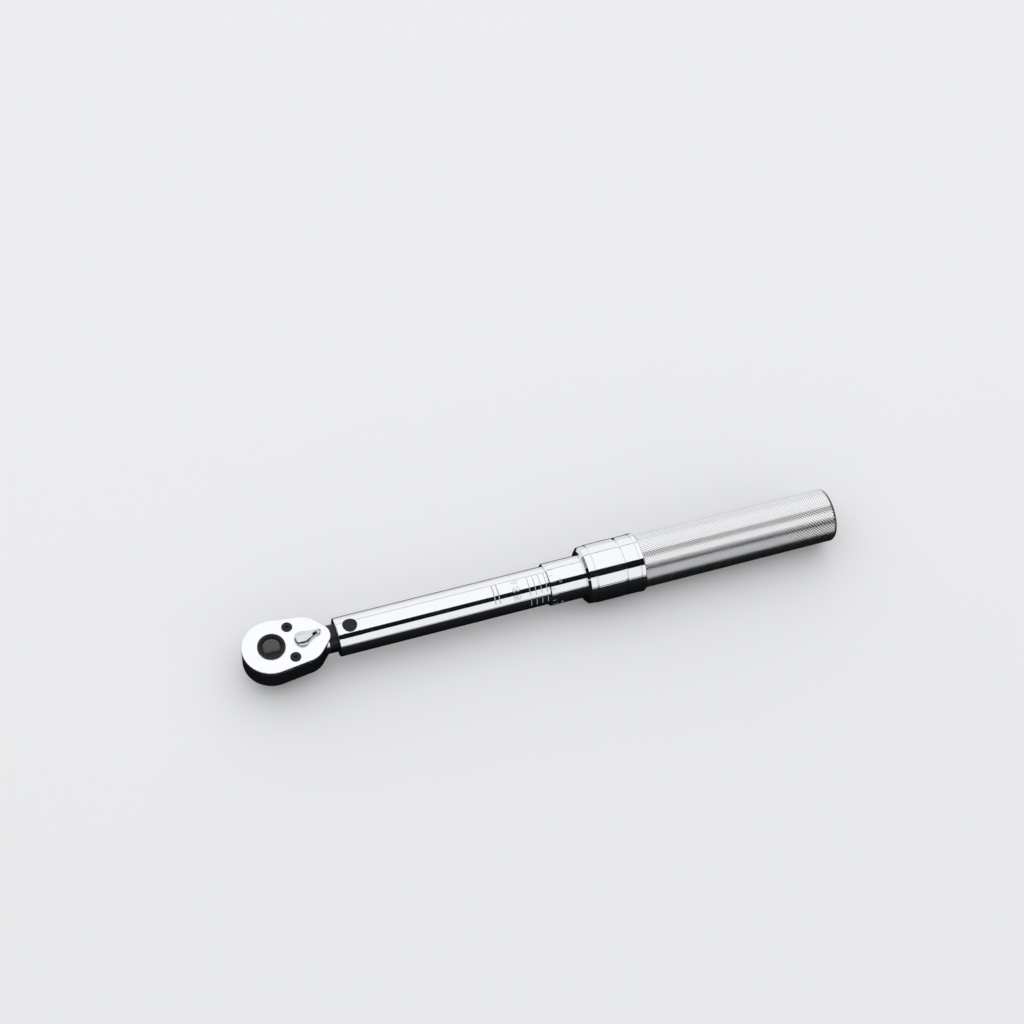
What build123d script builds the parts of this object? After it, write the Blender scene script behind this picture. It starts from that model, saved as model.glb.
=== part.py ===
from build123d import *
import os
from math import acos, asin, cos, pi, radians, sin, sqrt, tan

# A micrometer click torque wrench with a reversible ratchet head.
# Frame: the origin lies on the drive axis, where a socket seats against the
# shoulder of the square drive. +X runs along the barrel to the grip's end and
# +Z points out of the lever side of the head. All sizes are in millimetres.

# Overall
OVERALL_LENGTH = 266.7
LEAD = 2.54                     # travel of the grip for one turn
TURNS_FORWARD = 4               # turns left towards the head
TURNS_BACK = 2                  # turns left towards the lowest setting

# Clearances
RUN = 0.05                      # radial, running fits
SLIDE = 0.06                    # radial, sliding sleeves
GAP = 0.1                       # between faces that pass each other

# Square drive and drive gear
SQUARE = 6.35
SQUARE_LENGTH = 7.5
SQUARE_NOSE = 0.8               # chamfer at its end
SQUARE_ROUND = 0.94             # corner circle over the square's diagonal
BOSS_LOW_R = 6.5
BOSS_PROUD = 0.8                # lower boss stands below the head
BOSS_TOP_R = 5.9
BOSS_TOP_PROUD = 0.7            # upper boss stands above the cover plate
TEETH = 36
TOOTH_DEPTH = 0.65

# Head
HEAD_RADIUS = 12.55
HEAD_THICKNESS = 12.0           # with the cover plate
HEAD_WALL = 3.8                 # round the gear
HEAD_TAPER = 7.7                # degrees, each side draws in towards the tube
HEAD_WEDGE = 48.0               # degrees, each rear face to the axis
CORNER_ROUND = 9.0
TIP_ROUND = 5.5
REAR_MARGIN = 12.0              # lever axis to the rounded tip
FLOOR = 1.8
PLATE = 1.6
HEAD_EDGE = 1.2                 # rounding of the lower edge
PLATE_EDGE = 0.3

# Cover screws, countersunk, in the head's shoulders behind the gear
SCREW_R = 1.25
SCREW_HEAD_R = 2.35
SCREW_LENGTH = 8.0
SCREW_ANGLE = 40.85             # degrees from the barrel axis
SCREW_LAND = 1.24               # wall between gear cavity and screw
SCREW_SINK = 0.15
SCREW_KEY = 1.5                 # hexagon across flats
SCREW_KEY_DEPTH = 1.0

# Reversing lever and pawl
LEVER_SET_BACK = 4.9            # gear tips to lever axis
LEVER_THROW = 24.0              # degrees, one stop to the other
PAWL_ROCK = 9.0                 # degrees, one end in mesh to the other
STEM_R = 2.2
STEM_TOE_R = 1.5
STEM_TOE = 1.0
HUB_R = 3.4
HUB_HEIGHT = 2.3
HUB_WALL = 0.8                  # upright part of the hub, below its crown
TAB_REACH = 8.5                 # lever axis to the tab's tip
TAB_TIP_R = 0.95
TAB_THICKNESS = 1.5
PAWL_R = 6.4
PAWL_POCKET = 0.2
PAWL_BALL_R = 1.0
PAWL_BALL_SHOWS = 0.55          # its reach beyond the stem
PAWL_HORN = 3.5                 # lever axis to the pawl's cut-off back
PAWL_NOTCH_R = 0.6
PAWL_WIRE_R = 0.15
PAWL_COILS = 4
CROSS_HOLE = 1.2                # its blind end past the stem's axis
WINDOW_DROP = 3.4               # top of the pawl down to its ball window

# Quick release
BALL_R = 1.2
BALL_PROUD = 0.5
BALL_DEPTH = 4.0                # below the shoulder
BUTTON_R = 4.3
BUTTON_TRAVEL = 1.6
BUTTON_FLANGE_R = 4.85
BUTTON_FLANGE = 0.7
BUTTON_DOME = 1.25
RING_BITE = 0.4                 # depth of a snap ring in its groove
RING_THICKNESS = 0.5
RING_SLIT = 1.0                 # opening of a snap ring
RING_LIP = 0.4                  # boss stands above the button's snap ring
RELEASE_WIRE_R = 0.3
RELEASE_COIL = 4.2              # length of the release spring
RELEASE_COILS = 3.5
STEM_BELOW = 0.8                # button's stem below the ball
STEM_CLEARANCE = 0.025

# Barrel
TUBE_R = 8.34
TUBE_WALL = 1.24
TUBE_GAP = 2.5                  # head tip to tube mouth
TUBE_EDGE = 0.35
TUBE_TAIL = 32.0                # tube's rear end to the grip's rear end
PIN_R = 3.175
PIN_SET_BACK = 6.0              # tube mouth to pivot pin
NECK_CLEARANCE = 1.1            # neck to bore, room for the click
CLICK_SWING = 2.2               # degrees each way
TANG_HALF_WIDTH = 5.0
TANG_LENGTH = 16.2              # behind the pin

# Click block and plunger
BLOCK = 5.6
BLOCK_GAP_FRONT = 0.45
BLOCK_GAP_REAR = 0.35
BLOCK_POCKET = 0.8
POCKET_SIDE = 0.25
PLUNGER_LENGTH = 14.0
PLUNGER_TRAVEL = 0.4
SPIGOT_R = 3.6
SPIGOT = 4.0

# Main spring, spring seat, screw and nut
SPRING_WIRE_R = 1.25
SPRING_COILS = 15
SEAT_LENGTH = 14.0
THRUST_R = 3.0
THRUST_SINK = 1.0               # depth of each cup
SCREW_MAIN_R = 4.9
SCREW_EDGE = 1.0                # chamfer of its nose
SCREW_TAIL = 1.0                # stands out of its lock nut
SCREW_FRONT = 38.0              # screw nose ahead of the tube's rear end
NUT_LENGTH = 20.0
NUT_FLANGE = 2.0
NUT_PIN_R = 1.0
NUT_PIN_WALL = 0.8              # left between pin and screw
NUT_PIN_SINK = 0.2              # below the tube's surface
SHANK_R = 3.0
LOCK_NUT_FLATS = 10.0
LOCK_NUT_THICKNESS = 4.0

# Grip, thimble and end cap
GRIP_LENGTH = 92.85
GRIP_WALL = 2.48                # over the thimble
GRIP_EDGE = 0.8
WEB_THICKNESS = 5.0
WEB_SET_BACK = 18.2             # rear end to the web's front face
CAP_THICKNESS = 3.0
CAP_RECESS = 0.6
CAP_R = 9.2
CAP_EDGE = 0.4
CAP_RIM = 2.0
CAP_DISH = 0.8
GRIP_BORE_STEP = 0.4            # bore behind the thimble, smaller
THIMBLE_WALL = 0.95
THIMBLE_FRONT = 16.4            # stands out ahead of the lock ring
THIMBLE_IN_GRIP = 30.0
THIMBLE_BEVEL = 0.45

# Lock ring: bands from its front edge, and its bore
RING_LENGTH = 26.4
RING_PROUD = 1.17               # over the grip
NOSE_BAND = 3.6
GROOVE_AT = 16.6
GROOVE_WIDTH = 1.2
GROOVE_DEPTH = 0.75
REAR_BAND = 2.2
BAND_STEP = 0.15                # middle band below the rear band
NOSE_EDGE_DROP = 1.6            # front edge below the middle band
NOSE_DROP = 0.35                # front band below the middle band, at its chamfer
NOSE_END_DROP = 0.2             # and at its end
FINE_GROOVE = 0.7               # width, behind the front band
FINE_GROOVE_DROP = 0.45
FINE_GROOVE_SLOPE = 0.2         # length of each side of it
REAR_GROOVE = 0.4               # width, ahead of the rear band
REAR_GROOVE_DEPTH = 0.3
RING_CHAMFER = 1.1
RING_TRAVEL = 4.0
NOSE_LAND = 3.2
CONE_SLOPE = 0.15               # radius lost per length, wedges the balls in
SHOULDER_AT = 12.6
RING_UNDER_GRIP = 2.6           # skirt over the grip at rest
SKIRT_CLEARANCE = 0.12
LOCK_BALL_R = 1.2
LOCK_BALL_AT = 9.7              # behind the ring's front edge
LOCK_BALL_LIFT = 0.03           # held at the lip of its groove
LOCK_GROOVES = 12
LOCK_GROOVE_DEPTH = 0.6
LOCK_WIRE_R = 0.5
LOCK_COILS = 4.5

# Heights
HEAD_BOTTOM = BOSS_PROUD
HEAD_TOP = HEAD_BOTTOM + HEAD_THICKNESS
PLATE_SEAT = HEAD_TOP - PLATE
FLOOR_Z = HEAD_BOTTOM + FLOOR
AXIS_Z = HEAD_BOTTOM + HEAD_THICKNESS / 2
BOSS_TOP = HEAD_TOP + BOSS_TOP_PROUD
PAWL_BOTTOM = FLOOR_Z + GAP
PAWL_TOP = PLATE_SEAT - 2 * GAP - RING_THICKNESS

# Plan of the head
CAVITY_R = HEAD_RADIUS - HEAD_WALL
GEAR_R = CAVITY_R - 3.5 * GAP
GEAR_ROOT_R = GEAR_R - TOOTH_DEPTH
LEVER_X = GEAR_R + LEVER_SET_BACK
HEAD_TIP = LEVER_X + REAR_MARGIN
SCREW_RADIUS_AT = CAVITY_R + SCREW_LAND + SCREW_R
SCREW_X = SCREW_RADIUS_AT * cos(radians(SCREW_ANGLE))
SCREW_Y = SCREW_RADIUS_AT * sin(radians(SCREW_ANGLE))
HOLE_R = SCREW_R + RUN / 2

# Stations along the barrel
TUBE_FRONT = HEAD_TIP + TUBE_GAP
PIN_X = TUBE_FRONT + PIN_SET_BACK
TANG_END = PIN_X + TANG_LENGTH
BLOCK_FRONT = TANG_END - BLOCK_POCKET + BLOCK_GAP_FRONT
BLOCK_REAR = BLOCK_FRONT + BLOCK
PLUNGER_FRONT = BLOCK_REAR + BLOCK_GAP_REAR - BLOCK_POCKET
SPRING_FRONT = PLUNGER_FRONT + PLUNGER_LENGTH
GRIP_REAR = OVERALL_LENGTH - HEAD_RADIUS
GRIP_FRONT = GRIP_REAR - GRIP_LENGTH
TUBE_REAR = GRIP_REAR - TUBE_TAIL
SCREW_NOSE = TUBE_REAR - SCREW_FRONT
THRUST_X = SCREW_NOSE + THRUST_SINK - THRUST_R
SEAT_REAR = THRUST_X - THRUST_R + THRUST_SINK
SEAT_FRONT = SEAT_REAR - SEAT_LENGTH
WEB_FRONT = GRIP_REAR - WEB_SET_BACK
WEB_REAR = WEB_FRONT + WEB_THICKNESS
CAP_REAR = GRIP_REAR - CAP_RECESS
SKIRT_AT = RING_LENGTH - RING_UNDER_GRIP - RING_TRAVEL - 2 * GAP
RING_FRONT = GRIP_FRONT + RING_UNDER_GRIP - RING_LENGTH
RING_REAR = RING_FRONT + RING_LENGTH
LOCK_BALL_X = RING_FRONT + LOCK_BALL_AT
THIMBLE_START = RING_FRONT - THIMBLE_FRONT
THIMBLE_END = GRIP_FRONT + THIMBLE_IN_GRIP

# Radii along the barrel
BORE_R = TUBE_R - TUBE_WALL
NECK_R = BORE_R - NECK_CLEARANCE
SLIDER_R = BORE_R - RUN
SPRING_R = SLIDER_R - RUN - SPRING_WIRE_R
THIMBLE_BORE_R = TUBE_R + SLIDE
THIMBLE_R = THIMBLE_BORE_R + THIMBLE_WALL
GRIP_R = THIMBLE_R + GRIP_WALL
RING_R = GRIP_R + RING_PROUD
SKIRT_R = GRIP_R + SKIRT_CLEARANCE
LOCK_BALL_CENTRE = TUBE_R + LOCK_BALL_LIFT + LOCK_BALL_R

# Quick release: the ball rests on the stem, which tapers above it
BALL_Z = -BALL_DEPTH
BALL_X = SQUARE / 2 + BALL_PROUD - BALL_R
RELEASE_STEM_R = BALL_X - BALL_R - STEM_CLEARANCE
RELEASE_BORE_R = RELEASE_STEM_R + RUN
RAMP = BALL_PROUD / BUTTON_TRAVEL
RAMP_BASE = BALL_X - BALL_R * sqrt(1 + RAMP**2) - STEM_CLEARANCE
RAMP_START = (RAMP_BASE - RELEASE_STEM_R) / RAMP
RAMP_END = BUTTON_TRAVEL + RAMP * BALL_R
STEM_STEP = BUTTON_TRAVEL + BALL_R
BUTTON_RIM = BOSS_TOP - RING_LIP
RING_TOP_Z = BUTTON_RIM
RING_LOW_Z = RING_TOP_Z - RING_THICKNESS
FLANGE_TOP = RING_LOW_Z - GAP / 2
FLANGE_LOW = FLANGE_TOP - BUTTON_FLANGE
POCKET_R = BUTTON_FLANGE_R + RUN
POCKET_FLOOR = FLANGE_LOW - RELEASE_COIL


def turned(profile):
    """Solid of revolution about the barrel axis, from (x, radius) corners."""
    face = Plane.XZ * make_face(Polyline(*profile, close=True))
    return Pos(0, 0, AXIS_Z) * revolve(face, Axis.X, 360)


def spun(profile, x=0.0):
    """Solid of revolution about an upright axis at x, from (radius, z) corners."""
    face = Plane.XZ * make_face(Polyline(*profile, close=True))
    return Pos(x, 0, 0) * revolve(face, Axis.Z, 360)


def domed(steps, rise):
    """Solid of revolution about Z whose last corner runs into a spherical crown."""
    rim_r, rim_z = steps[-1]
    sphere_r = (rim_r**2 + rise**2) / (2 * rise)
    half_angle = asin(rim_r / sphere_r) / 2
    centre_z = rim_z + rise - sphere_r
    halfway = (sphere_r * sin(half_angle), centre_z + sphere_r * cos(half_angle))
    crown = (0, rim_z + rise)
    outline = Polyline(*steps).edges() + ThreePointArc(steps[-1], halfway, crown).edges()
    outline += Line(crown, steps[0]).edges()
    return revolve(Plane.XZ * make_face(outline), Axis.Z, 360)


def thrust_cup():
    """Sphere that cuts the cups for the thrust ball."""
    return Pos(THRUST_X, 0, AXIS_Z) * Rot(0, 90, 0) * Sphere(THRUST_R + GAP / 4)


def upright(radius, low, high, x=0.0, y=0.0):
    """Upright cylinder between two heights."""
    shape = Cylinder(radius, high - low, align=(Align.CENTER, Align.CENTER, Align.MIN))
    return Pos(x, y, low) * shape


def block(x0, x1, half_y, z0, z1):
    """Box between two x and two z, centred on the XZ plane."""
    return Pos((x0 + x1) / 2, 0, (z0 + z1) / 2) * Box(x1 - x0, 2 * half_y, z1 - z0)


def coil(mean_r, wire_r, length, turns):
    """Helical spring along +Z that fills the length from 0, its ends cut square."""
    height = length - 2 * wire_r
    path = Helix(height / turns, height, mean_r)
    section = Plane(origin=path @ 0, z_dir=path % 0) * Circle(wire_r)
    return Pos(0, 0, wire_r) * sweep(section, path=path, is_frenet=True)


def along_barrel(shape, x):
    """Turns a shape built along +Z to lie along the barrel from x."""
    return Pos(x, 0, AXIS_Z) * Rot(0, 90, 0) * shape


def head_outline():
    """Teardrop: a round front, sides drawing in, and a rounded wedge behind."""
    taper = radians(HEAD_TAPER)
    wedge = radians(HEAD_WEDGE)
    start_x = HEAD_RADIUS * sin(taper)
    start_y = HEAD_RADIUS * cos(taper)
    apex = HEAD_TIP + TIP_ROUND / sin(wedge) - TIP_ROUND
    side_at_0 = start_y + tan(taper) * start_x
    corner_x = (apex * tan(wedge) - side_at_0) / (tan(wedge) - tan(taper))
    corner_y = (apex - corner_x) * tan(wedge)
    rear = FilletPolyline(
        (start_x, start_y),
        (corner_x, corner_y),
        (apex, 0),
        (corner_x, -corner_y),
        (start_x, -start_y),
        radius=[CORNER_ROUND, TIP_ROUND, CORNER_ROUND],
    )
    front = ThreePointArc((start_x, -start_y), (-HEAD_RADIUS, 0), (start_x, start_y))
    return make_face(rear.edges() + front.edges())


def gear_outline(spare=0.0):
    """Toothed ring, a tooth on the +X axis; spare grows every flank."""
    pitch = 2 * pi / TEETH
    tip_half = 0.10 * pitch + spare / GEAR_R
    root_half = 0.42 * pitch + spare / GEAR_R
    tip_r = GEAR_R + spare
    root_r = GEAR_ROOT_R + spare
    corners = []
    for i in range(TEETH):
        for radius, turn in (
            (root_r, -root_half),
            (tip_r, -tip_half),
            (tip_r, tip_half),
            (root_r, root_half),
        ):
            angle = i * pitch + turn
            corners.append((radius * cos(angle), radius * sin(angle)))
    return make_face(Polyline(*corners, close=True))


def make_ratchet_head():
    """Forging: teardrop body with gear and pawl pockets, neck and tang."""
    body = extrude(Pos(0, 0, HEAD_BOTTOM) * head_outline(), PLATE_SEAT - HEAD_BOTTOM)
    lower = body.faces().sort_by(Axis.Z)[0].edges()
    body = fillet(lower, HEAD_EDGE)
    tang = turned([(LEVER_X + PAWL_R, 0), (LEVER_X + PAWL_R, NECK_R), (TANG_END, NECK_R), (TANG_END, 0)])
    shaving = NECK_R - TANG_HALF_WIDTH + GAP
    for side in (-1, 1):
        cheek = Box(TANG_END - PIN_X, shaving, 2 * NECK_R + 1)
        y = side * (TANG_HALF_WIDTH + shaving / 2)
        tang -= Pos((TANG_END + PIN_X) / 2 + PIN_R, y, AXIS_Z) * cheek
    seat = extrude(Pos(0, 0, PLATE_SEAT) * offset(head_outline(), 1.5 * GAP), 2 * PLATE)
    body += tang - seat
    body -= upright(CAVITY_R, FLOOR_Z, HEAD_TOP)
    body -= upright(BOSS_LOW_R + RUN, 0, HEAD_TOP)
    body -= upright(PAWL_R + PAWL_POCKET, FLOOR_Z, HEAD_TOP, LEVER_X)
    body -= upright(STEM_TOE_R + RUN, FLOOR_Z - STEM_TOE, HEAD_TOP, LEVER_X)
    for side in (-1, 1):
        low = HEAD_TOP - SCREW_SINK - SCREW_LENGTH - GAP
        body -= upright(HOLE_R, low, HEAD_TOP, SCREW_X, side * SCREW_Y)
    body -= upright(PIN_R + RUN, -TUBE_R, AXIS_Z + 2 * TUBE_R, PIN_X)
    half = BLOCK / 2 + POCKET_SIDE
    body -= block(TANG_END - BLOCK_POCKET, TANG_END + 1, half, AXIS_Z - half, AXIS_Z + half)
    return body


def make_cover_plate():
    """Flat plate on the head, held by two countersunk screws."""
    plate = extrude(Pos(0, 0, PLATE_SEAT) * head_outline(), PLATE)
    top = plate.faces().sort_by(Axis.Z)[-1].edges()
    plate = fillet(top, PLATE_EDGE)
    plate -= upright(BOSS_TOP_R + RUN, 0, BOSS_TOP)
    plate -= upright(STEM_R + RUN, 0, BOSS_TOP, LEVER_X)
    for side in (-1, 1):
        plate -= Pos(0, side * SCREW_Y, 0) * spun(screw_profile(HOLE_R, HEAD_TOP + GAP), SCREW_X)
    return plate


def screw_profile(shank_r, top):
    """Half section of a countersunk screw, its cone at 90 degrees."""
    face_z = HEAD_TOP - SCREW_SINK
    low = face_z - SCREW_LENGTH
    cone = face_z - (SCREW_HEAD_R - shank_r)
    return [(0, low), (shank_r, low), (shank_r, cone), (SCREW_HEAD_R, face_z), (SCREW_HEAD_R, top), (0, top)]


def make_cover_screws():
    """Two countersunk screws with hexagon sockets."""
    face_z = HEAD_TOP - SCREW_SINK
    key = RegularPolygon(SCREW_KEY / 2, 6, major_radius=False)
    socket = extrude(Pos(0, 0, face_z) * key, -SCREW_KEY_DEPTH)
    rim = face_z + SCREW_SINK / 2
    screws = []
    for side in (-1, 1):
        screw = spun(screw_profile(SCREW_R, rim))
        screw -= Pos(0, 0, SCREW_SINK) * socket
        screws.append(Pos(SCREW_X, side * SCREW_Y, 0) * screw)
    return Compound(screws)


def make_drive_gear():
    """Gear, both bosses and the square drive in one piece, drilled for the release."""
    gear = extrude(Pos(0, 0, FLOOR_Z + GAP) * gear_outline(), PLATE_SEAT - FLOOR_Z - 2 * GAP)
    gear += upright(BOSS_LOW_R, 0, FLOOR_Z + 2 * GAP)
    gear += upright(BOSS_TOP_R, FLOOR_Z + 2 * GAP, BOSS_TOP)
    bar = Pos(0, 0, -SQUARE_LENGTH / 2) * Box(SQUARE, SQUARE, SQUARE_LENGTH)
    corner_r = SQUARE_ROUND * SQUARE / sqrt(2)
    bar &= spun([
        (0, -SQUARE_LENGTH),
        (corner_r - SQUARE_NOSE, -SQUARE_LENGTH),
        (corner_r, -SQUARE_LENGTH + SQUARE_NOSE),
        (corner_r, 0),
        (0, 0),
    ])
    gear += bar
    gear -= upright(POCKET_R, POCKET_FLOOR, BOSS_TOP)
    gear -= upright(BUTTON_R + 2 * RING_BITE + RUN, RING_LOW_Z, RING_TOP_Z)
    stem_low = BALL_Z - STEM_BELOW - BUTTON_TRAVEL - GAP
    gear -= upright(RELEASE_BORE_R, stem_low, BOSS_TOP)
    drill = Cylinder(BALL_R + RUN / 2, SQUARE, align=(Align.CENTER, Align.CENTER, Align.MIN))
    gear -= Pos(0, 0, BALL_Z) * Rot(0, -90, 0) * drill
    return gear


def make_release_button():
    """Domed button and its long stem, waisted where the ball drops in."""
    steps = [
        (0, BALL_Z - STEM_BELOW),
        (RELEASE_STEM_R, BALL_Z - STEM_BELOW),
        (RELEASE_STEM_R, BALL_Z + RAMP_START),
        (RAMP_BASE - RAMP * RAMP_END, BALL_Z + RAMP_END),
        (RAMP_BASE - RAMP * RAMP_END, BALL_Z + STEM_STEP),
        (RELEASE_STEM_R, BALL_Z + STEM_STEP + RELEASE_STEM_R / 2),
        (RELEASE_STEM_R, FLANGE_LOW),
        (BUTTON_FLANGE_R, FLANGE_LOW),
        (BUTTON_FLANGE_R, FLANGE_TOP),
        (BUTTON_R, FLANGE_TOP),
        (BUTTON_R, BUTTON_RIM),
    ]
    return domed(steps, BUTTON_DOME)


def make_button_ring():
    """Snap ring in the boss, over the button's flange."""
    ring = upright(BUTTON_R + 2 * RING_BITE, RING_LOW_Z, RING_TOP_Z)
    ring -= upright(BUTTON_R + RUN, RING_LOW_Z, RING_TOP_Z)
    slit = Pos(BUTTON_R, 0, RING_LOW_Z) * Box(4 * RING_BITE, RING_SLIT, 4 * RING_THICKNESS)
    return ring - slit


def make_release_spring():
    """Light coil between the gear's pocket and the button."""
    mean = BUTTON_FLANGE_R - 3 * RELEASE_WIRE_R
    return Pos(0, 0, POCKET_FLOOR) * coil(mean, RELEASE_WIRE_R, RELEASE_COIL, RELEASE_COILS)


def make_detent_ball():
    """Ball that stands out of one flat of the square."""
    return Pos(-BALL_X, 0, BALL_Z) * Sphere(BALL_R)


def lever_pose(shape):
    """Turns lever parts from straight back to the stop they rest at."""
    return Pos(LEVER_X, 0, 0) * Rot(0, 0, LEVER_THROW / 2) * shape


def make_reversing_lever():
    """Domed hub with a tapering finger tab and a ridge; its stem goes down to the floor."""
    low = HEAD_TOP + GAP
    stem_low = FLOOR_Z - STEM_TOE + GAP
    groove_z = PLATE_SEAT - GAP
    groove_r = STEM_R - RING_BITE
    steps = [
        (0, stem_low),
        (STEM_TOE_R, stem_low),
        (STEM_TOE_R, FLOOR_Z + GAP),
        (STEM_R, FLOOR_Z + 2 * GAP),
        (STEM_R, groove_z - RING_THICKNESS),
        (groove_r, groove_z - RING_THICKNESS),
        (groove_r, groove_z),
        (STEM_R, groove_z),
        (STEM_R, low),
        (HUB_R, low),
        (HUB_R, low + HUB_WALL),
    ]
    lever = domed(steps, HUB_HEIGHT - HUB_WALL)
    lean = acos((HUB_R - TAB_TIP_R) / TAB_REACH)
    tip_x = TAB_REACH - TAB_TIP_R
    side = [
        (HUB_R * cos(lean), HUB_R * sin(lean)),
        (tip_x + TAB_TIP_R * cos(lean), TAB_TIP_R * sin(lean)),
        (tip_x + TAB_TIP_R * cos(lean), -TAB_TIP_R * sin(lean)),
        (HUB_R * cos(lean), -HUB_R * sin(lean)),
    ]
    plan = make_face(Polyline(*side, close=True))
    plan += Pos(tip_x, 0) * Circle(TAB_TIP_R)
    lever += extrude(Pos(0, 0, low) * plan, TAB_THICKNESS)
    ridge = Pos(HUB_R / 2 + tip_x / 2, 0, low + TAB_THICKNESS) * Box(tip_x - HUB_R / 2, TAB_TIP_R, 1)
    lever += ridge
    ball_z = PAWL_TOP - WINDOW_DROP / 2
    hole_length = STEM_R + CROSS_HOLE
    hole = Cylinder(PAWL_BALL_R + RUN / 2, hole_length, align=(Align.CENTER, Align.CENTER, Align.MIN))
    lever -= Pos(CROSS_HOLE, 0, ball_z) * Rot(0, -90, 0) * hole
    return lever_pose(lever)


def make_lever_clip():
    """Snap ring on the stem, under the cover plate."""
    top = PLATE_SEAT - GAP
    ring = upright(STEM_R + RING_BITE, top - RING_THICKNESS, top)
    ring -= upright(STEM_R - RING_BITE, top - RING_THICKNESS, top)
    ring -= Pos(STEM_R, 0, top) * Box(2 * STEM_R, RING_SLIT, 4 * RING_THICKNESS)
    return lever_pose(ring)


def make_pawl():
    """Round-backed pawl with teeth at both horns, bored for the lever's stem."""
    pawl = upright(PAWL_R, PAWL_BOTTOM, PAWL_TOP)
    pawl &= block(-PAWL_R, PAWL_HORN, PAWL_R, PAWL_BOTTOM, PAWL_TOP)
    pawl -= upright(STEM_R + RUN, PAWL_BOTTOM, PAWL_TOP)
    ball_path = STEM_R + PAWL_BALL_SHOWS + GAP
    window = upright(ball_path, PAWL_TOP - WINDOW_DROP, PAWL_TOP)
    relative = (LEVER_THROW - PAWL_ROCK) / 2
    for side in (-1, 1):
        angle = pi + radians(side * relative)
        reach = ball_path - PAWL_NOTCH_R / 2
        notch_x = reach * cos(angle)
        notch_y = reach * sin(angle)
        window += upright(PAWL_NOTCH_R, PAWL_TOP - WINDOW_DROP, PAWL_TOP, notch_x, notch_y)
    pawl -= window
    envelope = extrude(Pos(-LEVER_X, 0, 0) * gear_outline(GAP), PLATE_SEAT)
    tries = 6
    for i in range(tries + 1):
        rock = PAWL_ROCK * (i / tries - 0.5)
        pawl -= Rot(0, 0, -rock) * envelope
    pawl = pawl.solids().sort_by(SortBy.VOLUME)[-1]
    return Pos(LEVER_X, 0, 0) * Rot(0, 0, PAWL_ROCK / 2) * pawl


def make_pawl_ball():
    """Ball in the stem that snaps the pawl over."""
    reach = STEM_R + PAWL_BALL_SHOWS - PAWL_BALL_R
    return lever_pose(Pos(-reach, 0, PAWL_TOP - WINDOW_DROP / 2) * Sphere(PAWL_BALL_R))


def make_pawl_spring():
    """Small coil behind the pawl ball, in the stem's cross hole."""
    reach = STEM_R + PAWL_BALL_SHOWS - PAWL_BALL_R
    mean = PAWL_BALL_R - 2 * PAWL_WIRE_R
    start = reach - sqrt(PAWL_BALL_R**2 - mean**2) - PAWL_WIRE_R
    spring = coil(mean, PAWL_WIRE_R, CROSS_HOLE + start, PAWL_COILS)
    return lever_pose(Pos(-start, 0, PAWL_TOP - WINDOW_DROP / 2) * Rot(0, 90, 0) * spring)


def make_tube():
    """Barrel: bored through, cross-drilled for both pins, grooved under the lock ring."""
    tube = turned([
        (TUBE_FRONT, BORE_R),
        (TUBE_FRONT, TUBE_R - TUBE_EDGE),
        (TUBE_FRONT + TUBE_EDGE, TUBE_R),
        (TUBE_REAR, TUBE_R),
        (TUBE_REAR, BORE_R),
    ])
    tube -= upright(PIN_R, -TUBE_R, AXIS_Z + 2 * TUBE_R, PIN_X)
    tube -= nut_pin_blanks(TUBE_R + 1)
    start = LOCK_BALL_X - TURNS_FORWARD * LEAD - 2 * LOCK_BALL_R
    length = (TURNS_FORWARD + TURNS_BACK) * LEAD + 4 * LOCK_BALL_R
    cutter = Cylinder(LOCK_BALL_R, length, align=(Align.CENTER, Align.CENTER, Align.MIN))
    for i in range(LOCK_GROOVES):
        reach = TUBE_R - LOCK_GROOVE_DEPTH + LOCK_BALL_R
        groove = Rot(0, 0, i * 360 / LOCK_GROOVES) * Pos(0, reach, 0) * cutter
        tube -= along_barrel(groove, start)
    return tube


def make_pivot_pin():
    """Pin through tube and tang, its ends flush with the tube's wall."""
    half = sqrt(TUBE_R**2 - PIN_R**2)
    pin = upright(PIN_R, AXIS_Z - half, AXIS_Z + half, PIN_X)
    return pin


def make_click_block():
    """Hardened block that tips between tang and plunger."""
    half = BLOCK / 2
    return block(BLOCK_FRONT, BLOCK_REAR, half, AXIS_Z - half, AXIS_Z + half)


def make_plunger():
    """Sliding plunger: a pocket for the block in front, a spigot for the spring behind."""
    plunger = turned([
        (PLUNGER_FRONT, 0),
        (PLUNGER_FRONT, SLIDER_R),
        (SPRING_FRONT, SLIDER_R),
        (SPRING_FRONT, SPIGOT_R),
        (SPRING_FRONT + SPIGOT, SPIGOT_R),
        (SPRING_FRONT + SPIGOT, 0),
    ])
    half = BLOCK / 2 + POCKET_SIDE
    floor_x = PLUNGER_FRONT + BLOCK_POCKET
    return plunger - block(PLUNGER_FRONT - 1, floor_x, half, AXIS_Z - half, AXIS_Z + half)


def make_main_spring():
    """Heavy torque spring, from the plunger to the spring seat."""
    spring = coil(SPRING_R, SPRING_WIRE_R, SEAT_FRONT - SPRING_FRONT, SPRING_COILS)
    return along_barrel(spring, SPRING_FRONT)


def make_spring_seat():
    """Sliding seat behind the spring, cupped for the thrust ball."""
    seat = turned([
        (SEAT_FRONT - SPIGOT, 0),
        (SEAT_FRONT - SPIGOT, SPIGOT_R),
        (SEAT_FRONT, SPIGOT_R),
        (SEAT_FRONT, SLIDER_R),
        (SEAT_REAR, SLIDER_R),
        (SEAT_REAR, 0),
    ])
    return seat - thrust_cup()


def make_thrust_ball():
    """Ball between the spring seat and the screw."""
    return Pos(THRUST_X, 0, AXIS_Z) * Sphere(THRUST_R)


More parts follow.
